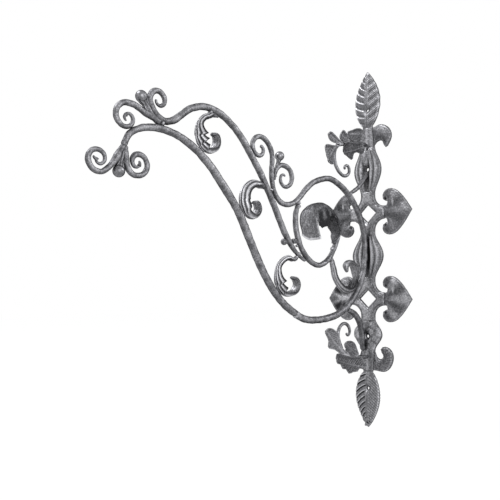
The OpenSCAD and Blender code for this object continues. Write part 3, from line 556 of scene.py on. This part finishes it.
def podPiece(name, look):
    def face(u, v):
        swell = max(0.0, math.sin(math.pi * v))
        x = u * mix(pods["stem"], look["width"] / 2, swell ** pods["swell"])
        z = look["foot"] - pods["weldLap"] + v * (look["height"] + 2 * pods["weldLap"])
        rise, bulge = swell ** pods["rise"], arched(u)
        depth = (pods["base"] * mix(pods["rimShare"], 1.0, min(1.0, bulge * pods["rimReach"]))
                 + pods["crown"] * rise * bulge)
        if "knob" in look:
            near = noise.voronoi(Vector((x, 0, z)) / look["knobSize"])[0][0]
            knob = look["knobLevel"] - min(1.0, near * near * look["knobFall"])
            depth += look["knob"] * knob * rise
            wearAndLight = look["tone"] + look["knobTone"] * knob
        else:
            fold = along(pods["profile"], abs(u))
            depth += pods["ridge"] * rise * fold * mix(0.4, 1.0, bulge)
            broad = mix(*pods["tongueWidths"], ease(0.5, 0.9, v))
            tongue = (hump(x, pods["tongueAt"], broad) * ease(0.52, 0.62, v)
                      * (1 - 0.6 * ease(0.9, 1, v)))
            depth += look["tongue"] * tongue
            low, more = pods["foldTones"]
            wearAndLight = mix(pods["plain"], low + more * fold, rise)
            rubbed = min(1.0, 1.5 * tongue) if look["tongue"] else 0.0
            wearAndLight = mix(max(0.0, wearAndLight), pods["tongueTone"], rubbed)
        if "hole" in look:
            away = math.hypot(x, z - look["foot"] - look["hole"])
            depth = mix(depth, pods["holeDepth"], hump(away, 0, pods["holeDip"]))
        return (x, -max(pods["least"], depth), z), wearAndLight

    bm = closedSheet(bmesh.new(), 84, 84, plated(face))
    if "hole" in look:
        bm = drilled(bm, look["foot"] + look["hole"], pods["drill"])
    finishPiece(bm, name, [look["node"]])


for name in ("upper", "middle", "lower"):
    podPiece(name + "Pod", pods[name])
print("stage: pods fluted")


# plate pieces cut from flat outlines: a grid is cut into the CAD piece's face, and
# its front is raised by the distance to the rim
plates = {
    "step": 2.2, "sprigStep": 1.9, "lap": 1.2, "sideLap": 1.5, "backTone": 0.3, "farShade": 0.12,
}


def faceFrame(bm, toward):
    # normal, right, up and middle of the largest face that looks that way
    bmesh.ops.dissolve_limit(bm, angle_limit=math.radians(0.6), verts=bm.verts, edges=bm.edges)
    bm.normal_update()
    best = max((f for f in bm.faces if f.normal.dot(toward) > 0.5), key=lambda f: f.calc_area())
    normal = best.normal.copy()
    up = (Vector((0, 0, 1)) - normal * normal.z).normalized()
    return normal, up.cross(normal), up, best.calc_center_median()


def gridCut(bm, axis, step):
    low = min(v.co.dot(axis) for v in bm.verts)
    high = max(v.co.dot(axis) for v in bm.verts)
    count = int((high - low) / step)
    for k in range(1, count + 1):
        at = mix(low, high, (k - 0.5) / count)
        bmesh.ops.bisect_plane(bm, geom=bm.verts[:] + bm.edges[:] + bm.faces[:], dist=1e-6,
                               plane_co=axis * at, plane_no=axis)


def atJoint(place, joints):
    # push of the joint that a point lies on: a joint is (axis, level, push) in mm,
    # and its edge runs a little into the neighbour, as a weld does
    for axis, level, push in joints:
        if abs(place[axis] - level) < 0.25:
            return Vector([push / 1000 if k == axis else 0 for k in range(3)])
    return None


def frontOnly(shape):
    # raises the front of a plate piece and leaves its back flat
    return lambda p, rim, front: shape(p, rim) if front else (0.0, plates["backTone"])


def raisedPiece(name, nodes, shape, toward=(0, -1, 0), step=plates["step"], joints=(),
                twinChange=None):
    # shape(place, rim, front) gives how far a point moves along the normal, in mm, and
    # its tone; rim is the distance to the rim. A second node is the first one's mirror
    # twin, which is darkened with painted shade, and twinChange(v, shade) shapes the points of the
    # twin further
    bm = nodeCopy(nodes[0])
    normal, right, up, middle = faceFrame(bm, Vector(toward))
    for axis in (right, up):
        gridCut(bm, axis, step / 1000)
    bmesh.ops.remove_doubles(bm, verts=bm.verts, dist=3e-6)
    wearAndLight = wearAndLightLayer(bm)
    level = {v: (v.co - middle).dot(normal) for v in bm.verts}
    thick = -min(level.values())
    rims = [v.co for v in bm.verts if level[v] > -thick / 2
            and any(abs(f.normal.dot(normal)) < 0.5 for f in v.link_faces)
            and not atJoint(v.co * 1000, joints)]
    tree = kdtree.KDTree(len(rims))
    for k, place in enumerate(rims):
        tree.insert(place, k)
    tree.balance()
    moves = {}
    for v in bm.verts:
        front = level[v] > -thick / 2
        distance = tree.find(v.co if front else v.co + normal * thick)[2] * 1000
        moves[v] = (*shape(v.co * 1000, distance, front), atJoint(v.co * 1000, joints))
    for v, (move, wornAndLit, push) in moves.items():
        v.co += normal * (move / 1000) + (push or Vector())
        v[wearAndLight] = clamp(wornAndLit)
    bmesh.ops.triangulate(bm, faces=bm.faces, quad_method="BEAUTY", ngon_method="BEAUTY")
    if len(nodes) > 1:
        twin = bm.copy()
        bmesh.ops.scale(twin, verts=twin.verts, vec=(-1, 1, 1))
        bmesh.ops.reverse_faces(twin, faces=twin.faces)
        shade = wearAndLightLayer(twin)
        for v in twin.verts:
            # the twin on the far side is darkened as painted shade
            v[shade] = max(0.0, v[shade] - plates["farShade"])
            if twinChange:
                twinChange(v, shade)
        finishPiece(twin, name + "Left", nodes[1:])
        name += "Right"
    finishPiece(bm, name, nodes[:1])


def dome(rim, reach):
    return math.sin(min(1.0, rim / reach) * math.pi / 2)


# crosses: domed and stippled, with a punched line inside a rubbed lip
crosses = {
    "places": [("upperCross", "upper_cross", 90), ("lowerCross", "lower_cross", -122)],
    "jointUp": 52, "jointOut": 47, "reach": 10, "stippleSize": 0.005,
    "lip": (2.0, 1.1), "line": (4.4, 1.0),
    # heights: rim, crown, stipple, line; wear: plain, crown, stipple, lip, line
    "heights": (-2.8, 4.6, 0.35, -0.8), "tones": (0.22, 0.4, 0.2, 0.3, -0.25),
}


def crossShape(p, rim):
    high = dome(rim, crosses["reach"])
    stipple = grain(p / 1000, crosses["stippleSize"], 1.0)
    lip, line = hump(rim, *crosses["lip"]), hump(rim, *crosses["line"])
    return (summed(crosses["heights"], high, stipple, line),
            summed(crosses["tones"], high, stipple, lip, line))


for name, node, z in crosses["places"]:
    raisedPiece(name, [node], frontOnly(crossShape), joints=[
        (2, z + crosses["jointUp"], plates["lap"]), (2, z - crosses["jointUp"], -plates["lap"]),
        (0, crosses["jointOut"], plates["lap"]), (0, -crosses["jointOut"], -plates["lap"])])

# collars: domed and filed in upright streaks
collars = {
    "places": [("upperCollar", "upper_collar", 252, 302),
               ("lowerCollar", "lower_collar", -298, -246)],
    "reach": 11, "streakTurn": 0.42, "rough": 0.6,
    # heights and wear: rim or plain, crown, streaks
    "heights": (-2.6, 3.8, 0.5), "tones": (0.2, 0.3, 0.16),
}


def collarShape(p, rim):
    high = dome(rim, collars["reach"])
    streak = math.cos(p.x * collars["streakTurn"]) + collars["rough"] * grain(p / 1000, 0.007, 4.0)
    return summed(collars["heights"], high, streak), summed(collars["tones"], high, streak)


for name, node, foot, top in collars["places"]:
    raisedPiece(name, [node], frontOnly(collarShape),
                joints=[(2, top, plates["lap"]), (2, foot, -plates["lap"])])
print("stage: crosses and collars domed")

# spades: shallow folds that fan out from the neck, and hooks round an eye
spades = {
    "reach": 20, "lip": (2.0, 1.0), "fan": 44, "folds": 7, "foldFrom": (5, 32), "foldRim": 8,
    "eye": (51, 32), "pit": 3.2, "ring": (6.5, 2.2), "mark": (74, 2.2), "markUp": (21, 8),
    "jointOut": 47.3,
    # heights: rim, crown, folds, pit, ring, lip, mark, rough
    "heights": (-1.6, 4.2, 1, -2.4, 0.9, 0.8, 1.1, 0.2),
    # tone on the folds, pit, ring, lip, mark and rough: the raised mark near the neck carries a
    # painted highlight
    "tones": (0.12, -0.4, 0.14, 0.16, 0.6, 0.15),
    "upper_spade": {"level": 90, "fold": 1.0, "plain": 0.44},
    "lower_spade": {"level": -122, "fold": 1.6, "plain": 0.5},
    # hollow drops in the lower left spade: their turns, distance out, length and depth
    "drops": (-1.5, -0.75, 0.0, 0.75, 1.5), "dropOut": 33, "dropLength": 18, "dropTurn": 0.3,
    "dropFan": 72, "dropFace": -0.0035, "dropDepth": 1.3, "dropShade": 0.45, "dropTone": 0.22,
}


def spadeShape(look):
    def shape(p, rim):
        x, z = p.x - spades["fan"], p.z - look["level"]
        fold = (math.cos(math.atan2(z, x) * spades["folds"])
                * ease(*spades["foldFrom"], math.hypot(x, z)) * min(1, rim / spades["foldRim"]))
        eye = math.hypot(p.x - spades["eye"][0], abs(z) - spades["eye"][1])
        # a raised mark near the neck, lightened as a painted highlight
        mark = hump(p.x, *spades["mark"]) * hump(z, *spades["markUp"])
        marks = (hump(eye, 0, spades["pit"]), hump(eye, *spades["ring"]),
                 hump(rim, *spades["lip"]), mark, grain(p / 1000, 0.004, 2.0))
        fold *= look["fold"]
        return (summed(spades["heights"], dome(rim, spades["reach"]), fold, *marks),
                summed((look["plain"], *spades["tones"]), fold, *marks))
    return frontOnly(shape)


def hollowDrops(v, shade):
    # pushes the drops that fan out from the neck into the lower left spade, darkens the drops with
    # painted shade and lightens the rest of its front
    if v.co.y < spades["dropFace"]:
        x = -v.co.x * 1000 - spades["dropFan"]
        z = v.co.z * 1000 - spades["lower_spade"]["level"]
        turn, out = math.atan2(z, x), math.hypot(x, z)
        drop = max(hump(turn, at, spades["dropTurn"]) for at in spades["drops"])
        drop *= hump(out, spades["dropOut"] * mix(1, 0.8, min(1, abs(turn))), spades["dropLength"])
        v.co.y += spades["dropDepth"] / 1000 * drop
        v[shade] = clamp(v[shade] + spades["dropTone"] - spades["dropShade"] * drop)


for name, change in (("upper_spade", None), ("lower_spade", hollowDrops)):
    raisedPiece(name, [name + "_right", name + "_left"], spadeShape(spades[name]),
                joints=[(0, spades["jointOut"], -plates["sideLap"])], twinChange=change)

# petals: smooth and domed, the lower pair hatched from its hub
petals = {
    "reach": 15, "lip": (2.4, 1.1), "hub": (34, -272), "hatches": 34, "jointOut": 20.3,
    # heights: rim, crown, lip, rough; wear on the hatches, lip and rough
    "heights": (-1.2, 6.0, 0.9, 0.25), "tones": (0.1, 0.22, 0.2),
    "upper_petal": {"plain": 0.4, "hatch": 0.0}, "lower_petal": {"plain": 0.42, "hatch": 0.3},
}


def petalShape(look):
    def shape(p, rim):
        turn = math.atan2(p.z - petals["hub"][1], p.x - petals["hub"][0])
        hatch = math.cos(turn * petals["hatches"]) if look["hatch"] else 0.0
        high, lip = dome(rim, petals["reach"]), hump(rim, *petals["lip"])
        rough = grain(p / 1000, 0.004, 3.0)
        return (summed(petals["heights"], high, lip, rough) + look["hatch"] * hatch,
                summed((look["plain"], *petals["tones"]), hatch, lip, rough))
    return frontOnly(shape)


for name in ("upper_petal", "lower_petal"):
    raisedPiece(name, [name + "_right", name + "_left"], petalShape(petals[name]),
                joints=[(0, petals["jointOut"], -plates["sideLap"])])
print("stage: spades and petals raised")

# sprig leaves: thin sheets with a midrib, veins and a rubbed, turned-up rim
sprigLeaves = {
    "cupReach": 7, "ribWidth": 1.6, "veinPitch": 6.5, "veinSlope": 0.9, "veinFrom": (1, 4),
    "lip": (0.8, 1.4), "bendLength": 45, "backTone": 0.35,
    # heights and wear of the cup, rib, veins and lip
    "heights": (-3.5, 1.6, 0.8, 1.3), "plain": 0.4, "tones": (0.25, 0.22, 0.25),
    # each leaf's bend and how much brighter it is
    "leaves": {
        "upper_sprig_long_leaf": (3, 0.06), "upper_sprig_top_leaf": (4, 0),
        "upper_sprig_blade": (-3, 0), "upper_sprig_lobed_leaf": (4, -0.2),
        "upper_sprig_folded_leaf": (5, -0.06), "lower_sprig_long_leaf": (4, 0.18),
        "lower_sprig_top_leaf": (4, 0.06), "lower_sprig_lobed_leaf": (5, -0.1),
    },
}


def midrib(node):
    # middle and direction of a leaf's longest line, in the arm's plane
    places = [(v.co.y * 1000, v.co.z * 1000) for v in frame["nodes"][node].data.vertices]
    y, z = (sum(p[k] for p in places) / len(places) for k in (0, 1))
    yy = sum((p[0] - y) ** 2 for p in places)
    zz = sum((p[1] - z) ** 2 for p in places)
    yz = sum((p[0] - y) * (p[1] - z) for p in places)
    turn = 0.5 * math.atan2(2 * yz, yy - zz)
    return y, z, math.cos(turn), math.sin(turn)


def sprigShape(node, bend, tone):
    look = sprigLeaves
    middleY, middleZ, ahead, up = midrib(node)

    def shape(p, rim, front):
        y, z = p.y - middleY, p.z - middleZ
        length, off = y * ahead + z * up, abs(z * ahead - y * up)
        spread = ease(0, look["cupReach"], rim)
        rib = hump(off, 0, look["ribWidth"])
        vein = (math.cos((length - look["veinSlope"] * off) / look["veinPitch"] * 2 * math.pi)
                * ease(*look["veinFrom"], off))
        lip = hump(rim, *look["lip"])
        move = summed((bend * (length / look["bendLength"]) ** 2, *look["heights"]),
                      spread, rib * spread, vein * spread, lip)
        wearAndLight = summed((look["plain"] + tone, *look["tones"]), rib, vein * spread, lip)
        return move, wearAndLight if front else look["backTone"]
    return shape


for node, (bend, tone) in sprigLeaves["leaves"].items():
    raisedPiece("sheet_" + node, [node], sprigShape(node, bend, tone), toward=(1, 0, 0),
                step=plates["sprigStep"])
print("stage: sprig leaves cupped")


# acanthus straps: a fluted rib whose sides droop and end in leaf tips
straps = {
    "thick": [(0, 1.5), (0.05, 4.2), (0.15, 3.8), (0.5, 3.2), (0.62, 3.8), (0.8, 3.6), (1, 3.2)],
    "wide": [(0, 5), (0.06, 9.5), (0.12, 11), (0.25, 12), (0.5, 12.5), (0.64, 11), (0.8, 12),
             (0.9, 10.5), (1, 7.5)],
    "droop": [(0, 0), (0.07, 5), (0.14, 10), (0.25, 11), (0.5, 11), (0.64, 7.5), (0.8, 4.5),
              (0.92, 3.5), (1, 2)],
    "droopPower": 2.2, "flutes": 5, "ridge": 1.1, "innerRidge": 0.7, "tipLength": 0.18,
    "tipPower": 1.5, "tipEnd": (0.014, 0.022), "fullFrom": (0.6, 0.72), "closeFrom": 0.9,
    "closeShare": 0.3, "bodyFrom": (0.04, 0.14), "bodyEnd": (0.95, 1),
    # the curled end is rolled from here on, with one rubbed rib on each flank
    "rollFrom": (0.58, 0.68), "rib": (0.6, 0.16), "ribRise": 1.5, "ribLevel": 0.4,
    # outer tone: plain, ridges, lobes darkened as painted shade, rim darker; inner tone: plain,
    # darker inwards from the root, rolled end lightened as painted light, ridges
    "tones": (0.56, 0.42, -0.22, -0.2), "innerTones": (0.45, -0.3, 0.42, 0.1),
    "acanthus_1": {
        "way": [(489, 233.6), (502.9, 236.4), (512.7, 231.9), (525.2, 226.6), (537, 212.5),
                (540, 194.5), (535, 177.4), (523.2, 166.4), (508.5, 163.4), (495.7, 170.4),
                (489.8, 184.4), (493.7, 197.5), (506.5, 199.5)],
        "slim": 0.48, "relief": 1, "tips": [(0.44, 0.95), (0.53, 0.95), (0.62, 0.7)],
    },
    "acanthus_2": {
        "way": [(362, 110), (372, 116.5), (385.7, 120.7), (403.4, 118.7), (419.1, 107.6),
                (428, 90.6), (428, 72.5), (420.1, 57.5), (409.3, 49.5), (396.5, 47.5),
                (385.7, 54.5), (379.8, 66.5), (385.7, 79.6), (399.5, 78.6)],
        "slim": 1.0, "relief": 0.9, "tips": [(0.46, 0.16), (0.58, 0.28)],
    },
    "acanthus_3": {
        "way": [(260, -22), (268, -28.5), (276.7, -33.1), (291.4, -28.7), (309.1, -33.7),
                (322.9, -45.8), (328.8, -61.8), (328.8, -79.9), (320, -97.9), (304.2, -109),
                (286.5, -110), (269.7, -102.9), (261.9, -87.9), (268.8, -74.9), (284.5, -70.9)],
        "slim": 0.5, "relief": 0.8, "tips": [(0.5, 0.9), (0.6, 0.85)],
    },
    "acanthus_4": {
        "way": [(148, -20), (147, -32), (144, -47.1), (138.5, -68.6), (124.3, -87.5),
                (106.4, -101.1), (86, -105.6), (66.4, -99.8), (50.9, -78.5), (48.8, -63.6),
                (52.5, -49), (62, -37), (80.2, -30.9), (95.4, -42), (89.4, -58.2)],
        "slim": 0.65, "relief": 0.45, "tips": [(0.42, 0.3), (0.52, 0.5), (0.6, 0.45)],
    },
}


def strapPiece(node, look):
    places = wayOf(look["way"], 160)

    def section(u, v, side):
        centre, outward = wayAt(places, v)
        before, past = straps["tipEnd"]
        lobe = max(reach * max(0.0, 1 - (tip - v) / straps["tipLength"]) ** straps["tipPower"]
                   * (1 - ease(tip - before, tip + past, v)) for tip, reach in look["tips"])
        start = straps["closeFrom"]
        close = math.sqrt(max(0.0, 1 - max(0.0, (v - start) / (1 - start)) ** 2))
        close = mix(straps["closeShare"], 1, close)
        body = ease(*straps["bodyFrom"], v) * (1 - ease(*straps["bodyEnd"], v)) * look["relief"]
        rolled = ease(*straps["rollFrom"], v)
        fluted = math.cos(straps["flutes"] * math.pi * u)
        ribbed = straps["ribRise"] * hump(abs(u), *straps["rib"]) - straps["ribLevel"]
        ridge = mix(fluted, ribbed, rolled) * body
        high = along(straps["thick"], v) * arched(u, 0.92) * close
        high += straps["ridge" if side > 0 else "innerRidge"] * ridge * (1 - 0.4 * u * u)
        broad = mix(look["slim"], 1, ease(*straps["fullFrom"], v)) + lobe
        droop = along(straps["droop"], v) * broad * abs(u) ** straps["droopPower"]
        spot = centre + outward * (side * high - droop)
        half = along(straps["wide"], v) * broad * close
        if side > 0:
            # the lobes are darkened as painted shade
            wearAndLight = summed(straps["tones"], ridge, lobe * abs(u), ease(0.85, 1, abs(u)))
        else:
            # the inside of the rolled end is lightened as painted light
            wearAndLight = summed(straps["innerTones"], ease(0.05, 0.2, v), rolled, ridge)
        return (u * half, -spot.x, spot.y), wearAndLight

    bm = closedSheet(bmesh.new(), 44, 200, section)
    finishPiece(rounded(bm), "strap_" + node, [node])


for node in ("acanthus_1", "acanthus_2", "acanthus_3", "acanthus_4"):
    strapPiece(node, straps[node])
print("stage: acanthus straps swept")

# curled leaf: a broad sheet that rolls over, with its near side folded under
curl = {
    "way": [(139.2, 8.8), (126, 35.2), (131.4, 50.7), (139.5, 68.9), (154.7, 84.1), (172.9, 94.2),
            (192.2, 97.2), (210.4, 90.1), (223.6, 73.9), (226.6, 52.7), (222.6, 33.4),
            (215.5, 12.2)],
    "wide": [(0, 5), (0.1, 15.5), (0.2, 22), (0.35, 25), (0.5, 26), (0.64, 25.5), (0.78, 25.5),
             (0.92, 26), (1, 27)],
    "fold": [(0, 0), (0.1, 5), (0.2, 13), (0.36, 19), (0.44, 27), (0.5, 40), (0.56, 54), (0.63, 53),
             (0.69, 40), (0.735, 18), (0.79, 1), (1, 0)],
    "foldPower": 3.2, "foldFull": 60, "farFold": 0.1, "hangFrom": (0.46, 0.57),
    "farTip": 13, "nearTip": 1, "tipPower": 1.6, "tipFrom": 0.75,
    "thick": 1.7, "lip": 1.6, "lipFrom": 0.968, "lipThick": 1.1, "streak": 0.25,
    # outer tone: plain, streaks, mottle, lip, near rim, far side, fold and its foot darkened as
    # painted shade under the roll, rolled end, far side of that end, crest; inner tone: plain,
    # painted shade under the crest, rolled end, lip
    "tones": (0.38, 0.06, 0.14, 0.6, 0.35, -0.3, -1, -0.3, 0.16, -0.25, -0.06),
    "pleats": 55, "pleatTones": (0.26, -0.2), "innerTones": (0.3, -0.26, 0.3, 0.5),
}
curlPlaces = wayOf(curl["way"], 160)


def curlShape(u, v, side):
    centre, outward = wayAt(curlPlaces, v)
    drop = along(curl["fold"], v) * abs(u) ** curl["foldPower"] * (1 if u > 0 else curl["farFold"])
    x = u * along(curl["wide"], v)
    streak = 0.6 * math.cos(u * 23 + math.sin(v * 6)) + 0.4 * math.cos(u * 41 + 1.3)
    lip = ease(curl["lipFrom"], 1, v)
    rise = (side * (curl["thick"] + curl["lipThick"] * lip) + curl["lip"] * lip
            + curl["streak"] * streak)
    # the folded side leans inwards at first and then hangs straight down
    hang = ease(*curl["hangFrom"], v)
    tip = (curl["farTip"] if u < 0 else curl["nearTip"]) * abs(u) ** curl["tipPower"]
    tip *= ease(curl["tipFrom"], 1, v)
    spot = centre + outward * (rise - drop * (1 - hang)) + Vector((0, tip - drop * hang, 0))
    if side > 0:
        mottle = grain(Vector((x, spot.x, spot.y)) / 1000, 0.006, 6.0)
        rim = hump(abs(u), 0.97, 0.04) * ease(0.72, 0.78, v)
        folded = drop / curl["foldFull"]
        pleat = summed(curl["pleatTones"], math.cos(v * curl["pleats"]))
        # the folded side and its foot are darkened as painted shade under the roll
        wearAndLight = summed(curl["tones"], streak, mottle, lip, rim, ease(0.72, 1, -u),
                      pleat * ease(0.15, 0.45, folded), ease(0.6, 0.85, folded),
                      ease(0.68, 0.84, v), ease(0.86, 1, -u) * ease(0.6, 0.7, v),
                      hump(v, 0.55, 0.15))
    else:
        # the inside of the rise under the crest is darkened as painted shade
        wearAndLight = summed(curl["innerTones"], hump(v, 0.36, 0.14), ease(0.8, 1, v), lip)
    return (x, -spot.x, spot.y), wearAndLight


finishPiece(rounded(closedSheet(bmesh.new(), 72, 160, curlShape)), "curledLeaf", ["curled_leaf"])
print("stage: curled leaf rolled")

# balls, each on a fluted web that fills its fork from the root to the ball
balls = {
    "flutes": 7, "flute": 0.12, "fluteEnd": 0.2, "flat": 0.62, "waist": (0.34, 0.1),
    "waistDepth": 0.22, "lump": 0.012, "webTones": (0.4, 0.3, -0.3), "ballTones": (0.55, 0.3),
    # ball and root as [distance from the wall, height], then the ball's radius and the
    # web's narrow and broad end
    "places": {
        "end_ball": ((705, 100.2), (694.5, 142), 10.6, 4, 9),
        "crest_ball": ((661.5, 235.1), (637, 204), 10.6, 7, 10),
        "mid_ball": ((319.4, 184.8), (333, 142), 10, 3, 7),
    },
}
for node, (ball, root, radius, narrow, broad) in balls["places"].items():
    start, end = (Vector((0, -s, z)) / 1000 for s, z in (ball, root))
    axis = end - start
    bm = bmesh.new()
    wearAndLight = wearAndLightLayer(bm)
    bmesh.ops.create_cone(bm, cap_ends=True, segments=56, radius1=broad / 1000,
                          radius2=narrow / 1000, depth=axis.length)
    sides = [e for e in bm.edges if abs(e.verts[0].co.z - e.verts[1].co.z) > 1e-4]
    bmesh.ops.subdivide_edges(bm, edges=sides, cuts=16)
    for v in bm.verts:
        turn = math.atan2(v.co.y, v.co.x)
        share = v.co.z / axis.length + 0.5
        fluting = math.cos(balls["flutes"] * turn) * ease(0, balls["fluteEnd"], 1 - share)
        waist = hump(share, *balls["waist"])
        girth = 1 + balls["flute"] * fluting - balls["waistDepth"] * waist
        v.co = Vector((v.co.x * girth * balls["flat"], v.co.y * girth, v.co.z + axis.length / 2))
        v[wearAndLight] = summed(balls["webTones"], fluting, waist)
    turned = Matrix.Rotation(math.atan2(-axis.y, axis.z), 3, "X")
    bmesh.ops.rotate(bm, verts=bm.verts, matrix=turned)
    sphere = bmesh.ops.create_uvsphere(bm, u_segments=40, v_segments=24, radius=radius / 1000)
    for v in sphere["verts"]:
        lump = grain(v.co + start, 0.006, 5.0)
        v.co *= 1 + balls["lump"] * lump
        v[wearAndLight] = summed(balls["ballTones"], lump)
    bmesh.ops.translate(bm, verts=bm.verts, vec=start)
    finishPiece(bm, "ball_" + node, [node])

# weld beads in the joints of the arm, as [distance from the wall, height, size], and
# where it isn't the usual one, their spread across the arm
welds = {
    "spread": 1.7, "lump": 0.22, "tones": (0.9, 0.3),
    "places": [(267.6, -153, 8.2, 1.0), (263, 91, 5), (262.5, 83, 5), (618.8, 195.9, 4.4),
               (623, 201.8, 3.4), (509, 238.5, 4), (259.7, -20.3, 3.6), (143.6, -4.2, 3.4),
               (694.4, 146.5, 3.5), (333.6, 140, 3.2), (372.5, 117.5, 3.6), (414, 30, 3),
               (318.5, -115, 3), (76, -150, 3.6), (74, 131, 3.4), (146.5, -35, 3.6),
               (343.5, 110, 3), (268, -28, 3.4), (265.6, -3.3, 2.6), (262.1, -20.2, 3),
               (236.4, -19.2, 2.8), (143.2, -1.7, 3.2), (503.8, 164.2, 2.6)],
}
bm = bmesh.new()
wearAndLight = wearAndLightLayer(bm)
for s, z, size, *own in welds["places"]:
    bead = bmesh.ops.create_uvsphere(bm, u_segments=18, v_segments=10, radius=size / 1000)["verts"]
    spread = own[0] if own else welds["spread"]
    for v in bead:
        lump = grain(v.co + Vector((0, s, z)) / 1000, 0.0035, 9.0)
        v.co *= 1 + welds["lump"] * lump
        v.co = Vector((v.co.x * spread, v.co.y - s / 1000, v.co.z + z / 1000))
        v[wearAndLight] = summed(welds["tones"], lump)
finishPiece(bm, "weldBeads", [], slot="forged_bar")

# the tie's spacer and knob, and the knob on the bottom leaf with its side lobes, hammered
knobs = {
    "lump": 0.0003, "growth": {"tie_spacer": 0.0016, "tie_knob": 0.0016, "tip_bead": 0},
    "lobes": {"tip_bead": [(9, -4.5, -421), (-9, -4.5, -421)]},
    "lobeRadius": 6.2, "lobeShape": (1, 0.7, 1.15), "tones": (0.5, 0.4),
}
for node, growth in knobs["growth"].items():
    bm = rounded(nodeCopy(node))
    for place in knobs["lobes"].get(node, []):
        lobe = bmesh.ops.create_uvsphere(bm, u_segments=24, v_segments=16,
                                         radius=knobs["lobeRadius"] / 1000)["verts"]
        bmesh.ops.scale(bm, verts=lobe, vec=knobs["lobeShape"])
        bmesh.ops.translate(bm, verts=lobe, vec=Vector(place) / 1000)
    wearAndLight = wearAndLightLayer(bm)
    bm.normal_update()
    for v in bm.verts:
        lump = grain(v.co, 0.004, 7.0)
        v.co += v.normal * (knobs["lump"] * lump + growth)
        v[wearAndLight] = summed(knobs["tones"], lump)
    finishPiece(bm, "forged_" + node, [node])
print("stage: balls, tie and bead made")

# stage, lights and camera
studio = {
    "floorLevel": cadBox[0].z - 0.004, "floorSize": 6, "floorColour": "#e4e4e4", "ambient": 0.35,
    "glow": 1.07, "glowShare": 0.9, "target": (0, -0.35, 0.05),
    # place, size and power
    "lamps": {"key": ((-0.9, -1.7, 2.3), 1.5, 60), "fill": ((2.2, -1.2, 0.3), 1.4, 16),
              "side": ((1.6, 1.2, 1.2), 1.2, 12)},
}


def larger(tree, first, second):
    return addNode(tree, "ShaderNodeMath", {0: first, 1: second}, operation="MAXIMUM").outputs[0]


bm = bmesh.new()
bmesh.ops.create_grid(bm, x_segments=1, y_segments=1, size=studio["floorSize"])
bmesh.ops.translate(bm, verts=bm.verts, vec=(0, 0, studio["floorLevel"]))
floor = placed("floor", bm)
# the camera sees the floor and the world as white, and they light the iron less
pale = bpy.data.materials.new("pale_floor")
tree = emptyTree(pale)
rays = addNode(tree, "ShaderNodeLightPath").outputs
seen = larger(tree, rays["Is Camera Ray"], rays["Is Glossy Ray"])
matt = addNode(tree, "ShaderNodeBsdfPrincipled", Roughness=0.9)
matt.inputs["Base Color"].default_value = srgb(studio["floorColour"])
glow = addNode(tree, "ShaderNodeEmission", Strength=studio["glow"])
share = scaled(tree, seen, studio["glowShare"])
blend = addNode(tree, "ShaderNodeMixShader", {0: share, 1: matt.outputs[0], 2: glow.outputs[0]})
addNode(tree, "ShaderNodeOutputMaterial", {"Surface": blend.outputs[0]})
floor.data.materials.append(pale)

world = bpy.data.worlds.new("studio")
bpy.context.scene.world = world
tree = emptyTree(world)
rays = addNode(tree, "ShaderNodeLightPath").outputs
seen = larger(tree, rays["Is Camera Ray"], rays["Is Glossy Ray"])
seen = larger(tree, seen, rays["Is Transmission Ray"])
strength = addNode(tree, "ShaderNodeMapRange", {0: seen})
strength.inputs["To Min"].default_value = studio["ambient"]
backdrop = addNode(tree, "ShaderNodeBackground", {"Strength": strength.outputs[0]},
                   Color=(1, 1, 1, 1))
addNode(tree, "ShaderNodeOutputWorld", {"Surface": backdrop.outputs[0]})

for name, (place, size, power) in studio["lamps"].items():
    lamp = bpy.data.lights.new(name, "AREA")
    lamp.size, lamp.energy = size, power
    light = placed(name, lamp)
    light.location = place
    aim = Vector(studio["target"]) - light.location
    light.rotation_euler = aim.to_track_quat("-Z", "Y").to_euler()

# the camera was fitted to the photo, whose lens is shifted up
view = {
    "place": (0.855, -1.204, -0.0947), "look": (-0.731354, 0.681998, 0.012), "lens": 41.76,
    "aside": 0.001, "rise": 0.0616,
}
lensData = bpy.data.cameras.new("camera")
lensData.lens = view["lens"]
lensData.shift_x = view["aside"]
lensData.shift_y = view["rise"]
camera = placed("camera", lensData)
camera.location = view["place"]
camera.rotation_euler = Vector(view["look"]).to_track_quat("-Z", "Y").to_euler()
bpy.context.scene.camera = camera
bpy.context.scene.view_settings.view_transform = "Standard"
print("stage: scene lit")
